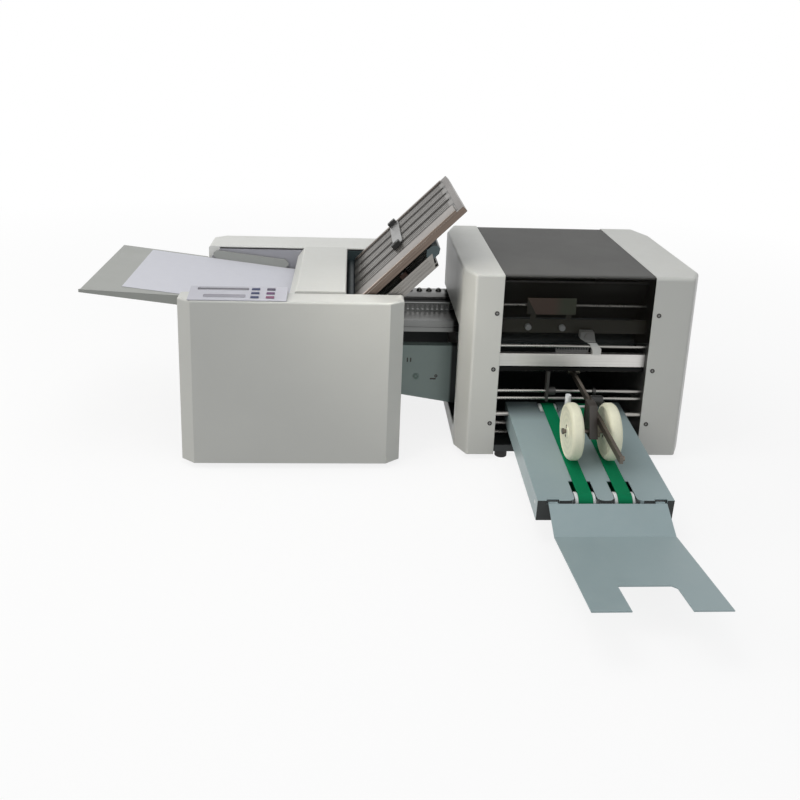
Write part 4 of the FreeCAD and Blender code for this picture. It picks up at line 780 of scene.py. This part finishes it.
def cylinder(faces, radius, long, place=(0, 0, 0), turn=(0, 0, 0)):
    """A cylinder about its own Z, put at the place and turned by the angles in degrees."""
    select_only()
    bpy.ops.mesh.primitive_cylinder_add(
        vertices=faces, radius=radius, depth=long, location=place,
        rotation=[math.radians(angle) for angle in turn])
    return added()


def block(sides, place=(0, 0, 0)):
    """A block of that size about the place, with both in its mesh."""
    select_only()
    bpy.ops.mesh.primitive_cube_add(size=1)
    piece = added()
    piece.scale = sides
    piece.location = place
    bpy.ops.object.transform_apply(location=True, rotation=False, scale=True)
    return piece


print("primitives ready")

# %% [markdown]
# In edit mode an operator works on what is selected. Picking faces and edges by a rule about
# their place or direction, and not by their numbers, still works after a size changes.

# %% Helpers for editing
def edit(piece, chosen_faces=None, chosen_edges=None):
    """Opens the piece in edit mode with the faces or edges that fit the rule selected."""
    select_only(piece)
    bpy.ops.object.mode_set(mode="EDIT")
    bpy.ops.mesh.select_mode(type="FACE" if chosen_faces else "EDGE")
    bpy.ops.mesh.select_all(action="DESELECT")
    bpy.ops.object.mode_set(mode="OBJECT")
    mesh = piece.data
    if chosen_faces:
        for face in mesh.polygons:
            face.select = bool(chosen_faces(face.center, face.normal))
    if chosen_edges:
        for line in mesh.edges:
            ends = [mesh.vertices[index].co for index in line.vertices]
            line.select = bool(chosen_edges(ends[0], ends[1]))
    bpy.ops.object.mode_set(mode="EDIT")


def close_edit():
    bpy.ops.object.mode_set(mode="OBJECT")


def carve(piece, cutter):
    """Takes the cutter's shape out of the piece and removes the cutter."""
    select_only(piece)
    step = piece.modifiers.new("carve", "BOOLEAN")
    step.object = cutter
    step.operation = "DIFFERENCE"
    step.solver = "EXACT"
    bpy.ops.object.modifier_apply(modifier=step.name)
    bpy.data.objects.remove(cutter, do_unlink=True)


print("editing helpers ready")

# %% [markdown]
# A finished piece keeps its place in its mesh, so its object is frozen at the origin. Then it is
# fixed to the part of the machine that it moves with, and told what sort of material it is.

# %% Helpers for copies and finished pieces
def join(pieces):
    select_only(pieces[0])
    for piece in pieces:
        piece.select_set(True)
    if len(pieces) > 1:
        bpy.ops.object.join()
    return bpy.context.view_layer.objects.active


def towards(direction, place, axis="Z"):
    """A place whose own axis points along the direction."""
    turn = Vector(direction).to_track_quat(axis, "Y").to_matrix().to_4x4()
    return Matrix.Translation(Vector(place)) @ turn


def copy_to(piece, places):
    """One mesh with the model repeated at each place."""
    copies = []
    for place in places:
        twin = piece.copy()
        twin.data = piece.data.copy()
        bpy.context.scene.collection.objects.link(twin)
        twin.matrix_world = place
        copies.append(twin)
    joined = join(copies)
    bpy.data.objects.remove(piece, do_unlink=True)
    return joined


def finish_piece(piece, name, body, finish, angle=35.0):
    """Freezes the place into the mesh, smooths round faces and fixes the piece to its body."""
    select_only(piece)
    bpy.ops.object.transform_apply(location=True, rotation=True, scale=True)
    bpy.ops.object.shade_smooth_by_angle(angle=math.radians(angle))
    piece.name = name
    piece.data.name = name
    piece.data.materials.clear()
    piece.data.materials.append(finishes[finish])
    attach(piece, body)
    print(name, "measures", [round(side, 4) for side in piece.dimensions])


print("finishing helpers ready")

# %% [markdown]
# ### Cover screws
# Flat-topped screws with a cross recess hold the second unit's covers to its frame. The head is
# a short cylinder, and the cross is carved with two thin bars, one after the other. A socket
# head would also hold, but service staff use one driver.

# %% Cross-head screw
def cross_screw(radius, high):
    head = cylinder(28, radius, high, (0, 0, high / 2))
    for long, wide in ((1.15, 0.24), (0.24, 1.15)):
        carve(head, block((radius * long, radius * wide, high * 1.1), (0, 0, high)))
    return head


cover_low, cover_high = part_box("unit2_cover_left")
screw_places = [towards((0, side, 0), (x, face, z))
                for side, face in ((-1, cover_low.y), (1, cover_high.y))
                for x in (0.218, 0.5775) for z in (0.352, 0.221, 0.090)]
screws = copy_to(cross_screw(0.0052, 0.0019), screw_places)
finish_piece(screws, "cover_screws", "machine", "screw_steel")
print("cover screws:", len(screw_places))

# %% [markdown]
# ### Collars on the cross rods
# A shaft collar is a thick ring with a set screw, and it keeps a rod from sliding sideways. It
# is a cylinder with its rims bevelled, bored through, and drilled from the side.

# %% Shaft collars
def round_edges(piece, chosen, width, segments):
    edit(piece, chosen_edges=chosen)
    bpy.ops.mesh.bevel(offset=width, segments=segments, affect="EDGES")
    close_edit()


def round_rims(piece, long, width, segments):
    """Rounds both end rims of a cylinder of that length."""
    round_edges(piece, lambda a, b: abs(abs(a.z) - long / 2) < 1e-6 and abs(a.z - b.z) < 1e-6,
                width, segments)


def shaft_collar(radius, bore, wide):
    ring = cylinder(40, radius, wide)
    round_rims(ring, wide, 0.0006, 2)
    carve(ring, cylinder(40, bore, wide * 2))
    carve(ring, cylinder(12, wide * 0.22, radius, (0, -radius, 0), (90, 0, 0)))
    return ring


collar_places = [towards((1, 0, 0), (0.4555, 0.084, z)) for z in (0.143, 0.161)]
collars = copy_to(shaft_collar(0.008, 0.00405, 0.007), collar_places)
finish_piece(collars, "rod_collars", "machine", "screw_steel")

# %% [markdown]
# ### Balls of the ball rail
# Loose steel balls sit in the holes of the rail and press the sheet on to the tapes below. Only
# the crown shows, so a sphere is cut flat near its bottom and sunk into the hole.

# %% Balls in their holes
def hold_down_ball(radius):
    select_only()
    bpy.ops.mesh.primitive_uv_sphere_add(segments=28, ring_count=16, radius=radius)
    ball = added()
    edit(ball, chosen_faces=lambda spot, normal: True)
    bpy.ops.mesh.bisect(plane_co=(0, 0, -radius * 0.8), plane_no=(0, 0, 1), use_fill=True,
                        clear_inner=True)
    close_edit()
    return ball


rail_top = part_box("ball_rail")[1].z
first_ball_x, ball_pitch, ball_count = 0.030, 0.025, 8
ball_places = [Matrix.Translation((first_ball_x + ball_pitch * index, 0.438, rail_top + 0.0005))
               for index in range(ball_count)]
balls = copy_to(hold_down_ball(0.0075), ball_places)
finish_piece(balls, "rail_balls", "machine", "ball_grey", angle=60.0)

# %% [markdown]
# ### Windows of the control panel
# Two long lenses lie on the panel's slope beside the keys: a dark one over the display and a
# grey one below it. A lens is a thin slab with rounded ends and a sunken face.

# %% Panel lenses
panel_foot_y, panel_foot_z, panel_tilt = 0.022, 0.3876, math.radians(13)


def facing_up(spot, normal):
    return normal.z > 0.9


def inset_and_move(piece, chosen, rim, shift):
    """Leaves a rim of that width round the chosen faces and moves what is inside it."""
    edit(piece, chosen_faces=chosen)
    bpy.ops.mesh.inset(thickness=rim, depth=0)
    bpy.ops.transform.translate(value=shift)
    close_edit()


def lens(long, wide, thick):
    slab = block((long, wide, thick))
    round_edges(slab, lambda a, b: abs(a.z - b.z) > thick / 2, wide * 0.3, 4)
    inset_and_move(slab, facing_up, 0.0006, (0, 0, -thick * 0.3))
    return slab


def on_panel_slope(x, up, lift):
    """A place on the panel: across, up the slope, and standing off it."""
    y = panel_foot_y + up * math.cos(panel_tilt) - lift * math.sin(panel_tilt)
    z = panel_foot_z + up * math.sin(panel_tilt) + lift * math.cos(panel_tilt)
    return Matrix.Translation((x, y, z)) @ Matrix.Rotation(panel_tilt, 4, "X")


display = copy_to(lens(0.1070, 0.0122, 0.0014), [on_panel_slope(-0.3695, 0.0445, -0.0004)])
finish_piece(display, "display_lens", "machine", "window_dark")
strip = copy_to(lens(0.0880, 0.0108, 0.0008), [on_panel_slope(-0.3640, 0.0162, 0.0003)])
finish_piece(strip, "lower_lens", "machine", "window_grey")

# %% [markdown]
# ### Thumb screws of the fold stops
# The stop bars are set by hand, so each clamp carries a small knurled thumb screw. A cylinder
# gets its grip from every second side face pushed inwards, and its top is inset.

# %% Thumb screws
thumb_sides = 32


def every_second_side(spot, normal):
    sides_round = math.degrees(math.atan2(normal.y, normal.x)) / (360 / thumb_sides)
    return abs(normal.z) < 0.1 and round(sides_round - 0.5) % 2 == 0


def thumb_screw(radius, high):
    knob = cylinder(thumb_sides, radius, high, (0, 0, high / 2))
    edit(knob, chosen_faces=every_second_side)
    bpy.ops.mesh.extrude_faces_move(TRANSFORM_OT_shrink_fatten={"value": -radius * 0.08})
    close_edit()
    edit(knob, chosen_faces=facing_up)
    bpy.ops.mesh.inset(thickness=radius * 0.35, depth=high * 0.12)
    close_edit()
    return knob


def on_plate_slope(along, y, across):
    """A place on the fold plates: up their slope, along Y, and square to the slope."""
    spot = ((along - across) * diagonal, y, (along + across) * diagonal)
    return Matrix.Translation(spot) @ Matrix.Rotation(math.radians(-45), 4, "Y")


upper_places = [on_plate_slope(0.328, y, 0.3310) for y in (0.2135, 0.4195)]
upper_knobs = copy_to(thumb_screw(0.0036, 0.0016), upper_places)
finish_piece(upper_knobs, "upper_thumb_screws", "upper_stop", "screw_steel")
second_places = [on_plate_slope(0.311, y, 0.2972) for y in (0.0905, 0.4315)]
second_knobs = copy_to(thumb_screw(0.0050, 0.0040), second_places)
finish_piece(second_knobs, "second_thumb_screws", "second_stop", "screw_steel")

# %% [markdown]
# ### Bottom pan of the left cover
# The second unit's left cover is open below, so a dark folded pan closes it and stands in for the
# deep shade under the cover. A block gets its top face inset and pushed down, which leaves a thin
# tray with a rim. Flat sheet alone would do, but the rim is what gives such a pan its stiffness.

# %% Folded pan
def folded_pan(low, high, floor_thick):
    sides = high - low
    pan = block(sides, (low + high) / 2)
    inset_and_move(pan, facing_up, 0.0012, (0, 0, floor_thick - sides.z))
    return pan


pan = folded_pan(Vector((0.1560, 0.0950, 0.0126)), Vector((0.2235, 0.4750, 0.0170)), 0.0012)
vent_sides, first_vent_y, vent_pitch = (0.040, 0.006, 0.010), 0.150, 0.090
for index in range(4):
    carve(pan, block(vent_sides, (0.185, first_vent_y + vent_pitch * index, 0.013)))
# painted shade: the pan is a dark sheet where the floor under the cover lies in shade
finish_piece(pan, "left_shade_pan", "machine", "shadow_paint")

# %% [markdown]
# ### Dark block between the weight wheels
# A dark block on the arm fills the gap between the two wheels and stands in for the shade that
# falls there, and it is bored for their axle. It starts as a block whose top is drawn in, with its
# left face sunk behind a rim and its long edges rounded, so that it reads as a folded part rather
# than a brick.

# %% Painted shade between the wheels
shade_block_sides = Vector((0.0180, 0.056, 0.064))
shade_block_middle = Vector((0.3953, -0.1040, 0.1865))
shade_block = block(shade_block_sides, shade_block_middle)
edit(shade_block, chosen_faces=facing_up)
top_middle = shade_block_middle + Vector((0, 0, shade_block_sides.z / 2))
bpy.ops.transform.resize(value=(1.0, 0.55, 1.0), center_override=top_middle)
bpy.ops.transform.translate(value=(0, 0.010, 0))
close_edit()
inset_and_move(shade_block, lambda spot, normal: normal.x < -0.9, 0.0035, (0.0030, 0, 0))
round_edges(shade_block, lambda a, b: (a - b).length > 0.015, 0.0012, 3)
carve(shade_block, cylinder(36, 0.0056, 0.06, (shade_block_middle.x, axle_y, axle_z), (0, 90, 0)))
# painted shade: a dark brown block where only shade lies between the wheels
finish_piece(shade_block, "wheel_gap_shade", "arm", "gap_shade_brown")

# %% [markdown]
# ### Post behind the left wheel
# A short lever on the arm carries a chrome post behind the left wheel, given white plastic as a
# painted stand-in for its bright reflection. Both are cylinders with rounded rims, and they are
# joined because they never part.

# %% White post and its lever
post_long, lever_long, lever_y = 0.034, 0.0450, -0.0450
post = cylinder(36, 0.0062, post_long, (0.3605, lever_y, 0.1955))
round_rims(post, post_long, 0.0012, 3)
lever = cylinder(28, 0.0026, lever_long, (0.3830, lever_y, 0.1850), (0, 90, 0))
round_rims(lever, lever_long, 0.0006, 2)
for piece in (post, lever):
    select_only(piece)
    bpy.ops.object.transform_apply(location=True, rotation=True, scale=True)
# painted reflection: white plastic stands in for the bright chrome of the post
finish_piece(join([post, lever]), "arm_post", "arm", "white_plastic", angle=40.0)

# %% [markdown]
# ### Plug and screw on the bridge skirt
# The skirt's boss holds a round plug with a turned edge, and one dark screw fixes the skirt to
# the bridge frame. Both are shapes used before, at another size.

# %% Skirt plug and screw
plug = copy_to(shaft_collar(0.0062, 0.0022, 0.0030), [towards((0, -1, 0), (0.062, 0.2256, 0.128))])
finish_piece(plug, "skirt_plug", "machine", "plug_green")
skirt_screw = copy_to(cross_screw(0.0040, 0.0020), [towards((0, -1, 0), (0.1105, 0.230, 0.1295))])
finish_piece(skirt_screw, "skirt_screw", "machine", "screw_steel")

# %% [markdown]
# ## Camera, light and floor
# The camera stands a little left of the machine and above it, looking down about 15 degrees.
# Its lens is also shifted down, which frames the machine without tilting the camera further.

# %% Camera
def aim(spot, pitch, yaw, roll):
    """World matrix of a camera at the spot; angles in degrees, pitch down and yaw to the right."""
    pitch, yaw, roll = (math.radians(angle) for angle in (pitch, yaw, roll))
    level = math.cos(pitch)
    ahead = Vector((math.sin(yaw) * level, math.cos(yaw) * level, -math.sin(pitch)))
    right = Vector((math.cos(yaw), -math.sin(yaw), 0.0))
    above = right.cross(ahead)
    side = right * math.cos(roll) + above * math.sin(roll)
    top = above * math.cos(roll) - right * math.sin(roll)
    turn = Matrix((side, top, -ahead)).transposed().to_4x4()
    return Matrix.Translation(spot) @ turn


lens_data = bpy.data.cameras.new("camera")
lens_data.sensor_width = 36.0
lens_data.lens = 37.63
lens_data.shift_x = -0.0026
lens_data.shift_y = -0.1988
camera = bpy.data.objects.new("camera", lens_data)
bpy.context.scene.collection.objects.link(camera)
camera.matrix_world = aim(Vector((-0.1068, -1.6380, 0.9630)), pitch=14.86, yaw=3.77, roll=2.11)
bpy.context.scene.camera = camera
print("camera at", [round(value, 3) for value in camera.matrix_world.translation])

# %% [markdown]
# A broad warm lamp on the left models the shapes, a low one in front lifts the upright faces, and
# a small one reaches into the gap over the bridge. Two lamps are kept out of mirrors, where they
# would show as hard white squares.

# %% Lamps
def soft_lamp(name, place, target, wide, power):
    lamp = bpy.data.lights.new(name, "AREA")
    lamp.shape = "SQUARE"
    lamp.size = wide
    lamp.energy = power
    holder = bpy.data.objects.new(name, lamp)
    bpy.context.scene.collection.objects.link(holder)
    holder.matrix_world = towards(Vector(target) - Vector(place), place, axis="-Z")
    return holder


soft_lamp("overhead", (-0.8, 0.1, 2.5), (-0.2, 0.1, 0.3), wide=2.2, power=1.5)
soft_lamp("front", (0.35, -2.4, 0.9), (0.3, 0.0, 0.25), wide=1.2, power=8.0)
near_lamp = soft_lamp("near_left", (-0.25, -0.1, 1.6), (0.16, 0.1, 0.3), wide=0.8, power=5.5)
left_lamp = soft_lamp("left", (-2.6, 0.0, 1.5), (0.145, 0.2, 0.25), wide=1.5, power=24.5)
left_lamp.data.color = (1.0, 0.965, 0.90)
gap_lamp = soft_lamp("gap", (-0.55, -0.45, 0.95), (0.157, 0.085, 0.28), wide=0.3, power=0.26)
gap_lamp.data.spread = math.radians(36)
gap_lamp.data.color = (1.0, 0.95, 0.86)
for holder in (near_lamp, gap_lamp):
    holder.visible_glossy = False
print("lamps:", ", ".join(light.name for light in bpy.data.lights))

# %% [markdown]
# The room fills the rest of the light. It is white where it is seen or mirrored and plainer
# elsewhere, so the background is white without more light on the machine. The floor does the
# same, more so the farther out, and keeps only a faint shadow near the machine.

# %% Room and floor
def seen_rays(tree):
    """1 for rays that are seen, mirrored or passed on, 0 for the light on the machine."""
    path = add_node(tree, "ShaderNodeLightPath").outputs
    seen = math_step(tree, "MAXIMUM", path["Is Camera Ray"], path["Is Glossy Ray"])
    return math_step(tree, "MAXIMUM", seen, path["Is Transmission Ray"])


def mix_in_white(tree, factor, plain, white, output):
    mix = add_node(tree, "ShaderNodeMixShader", Fac=factor)
    feed(tree, plain.outputs[0], mix.inputs[1])
    feed(tree, white.outputs[0], mix.inputs[2])
    fill_inputs(tree, tree.nodes[output], Surface=mix.outputs[0])


world = bpy.data.worlds.new("room")
bpy.context.scene.world = world
world.use_nodes = True
tree = world.node_tree
plain = fill_inputs(tree, tree.nodes["Background"], Color=(0.97, 0.985, 1.0, 1.0), Strength=0.48)
white = add_node(tree, "ShaderNodeBackground", Color=(1, 1, 1, 1), Strength=1.0)
mix_in_white(tree, seen_rays(tree), plain, white, "World Output")

select_only()
bpy.ops.mesh.primitive_plane_add(size=120, location=(0, 0, 0))
floor = added()
floor.name = "floor"
floor_paint = bpy.data.materials.new("floor_paint")
floor_paint.use_nodes = True
tree = floor_paint.node_tree
seen = seen_rays(tree)
pale = blend_colours(tree, seen, (0.36, 0.36, 0.36, 1.0), (0.97, 0.97, 0.97, 1.0))
matt = fill_inputs(tree, tree.nodes["Principled BSDF"], Base_Color=pale, Roughness=0.9)
glow = add_node(tree, "ShaderNodeEmission", Color=(1, 1, 1, 1), Strength=1.0)
reach = add_node(tree, "ShaderNodeVectorMath", {"operation": "LENGTH"},
                 Vector=own_place(tree)["Object"])
fade = spread(tree, reach.outputs["Value"], 0.9, 3.0, 0.84, 1.0)
mix_in_white(tree, math_step(tree, "MULTIPLY", seen, fade), matt, glow, "Material Output")
floor.data.materials.append(floor_paint)
bpy.context.scene.view_settings.view_transform = "Standard"
print("room and floor ready")

# %% [markdown]
# ## Last look
# The view layer is brought up to date once more. The dressed machine must stay inside the
# box of the solids.

# %% Bring the view layer up to date
bpy.context.view_layer.update()
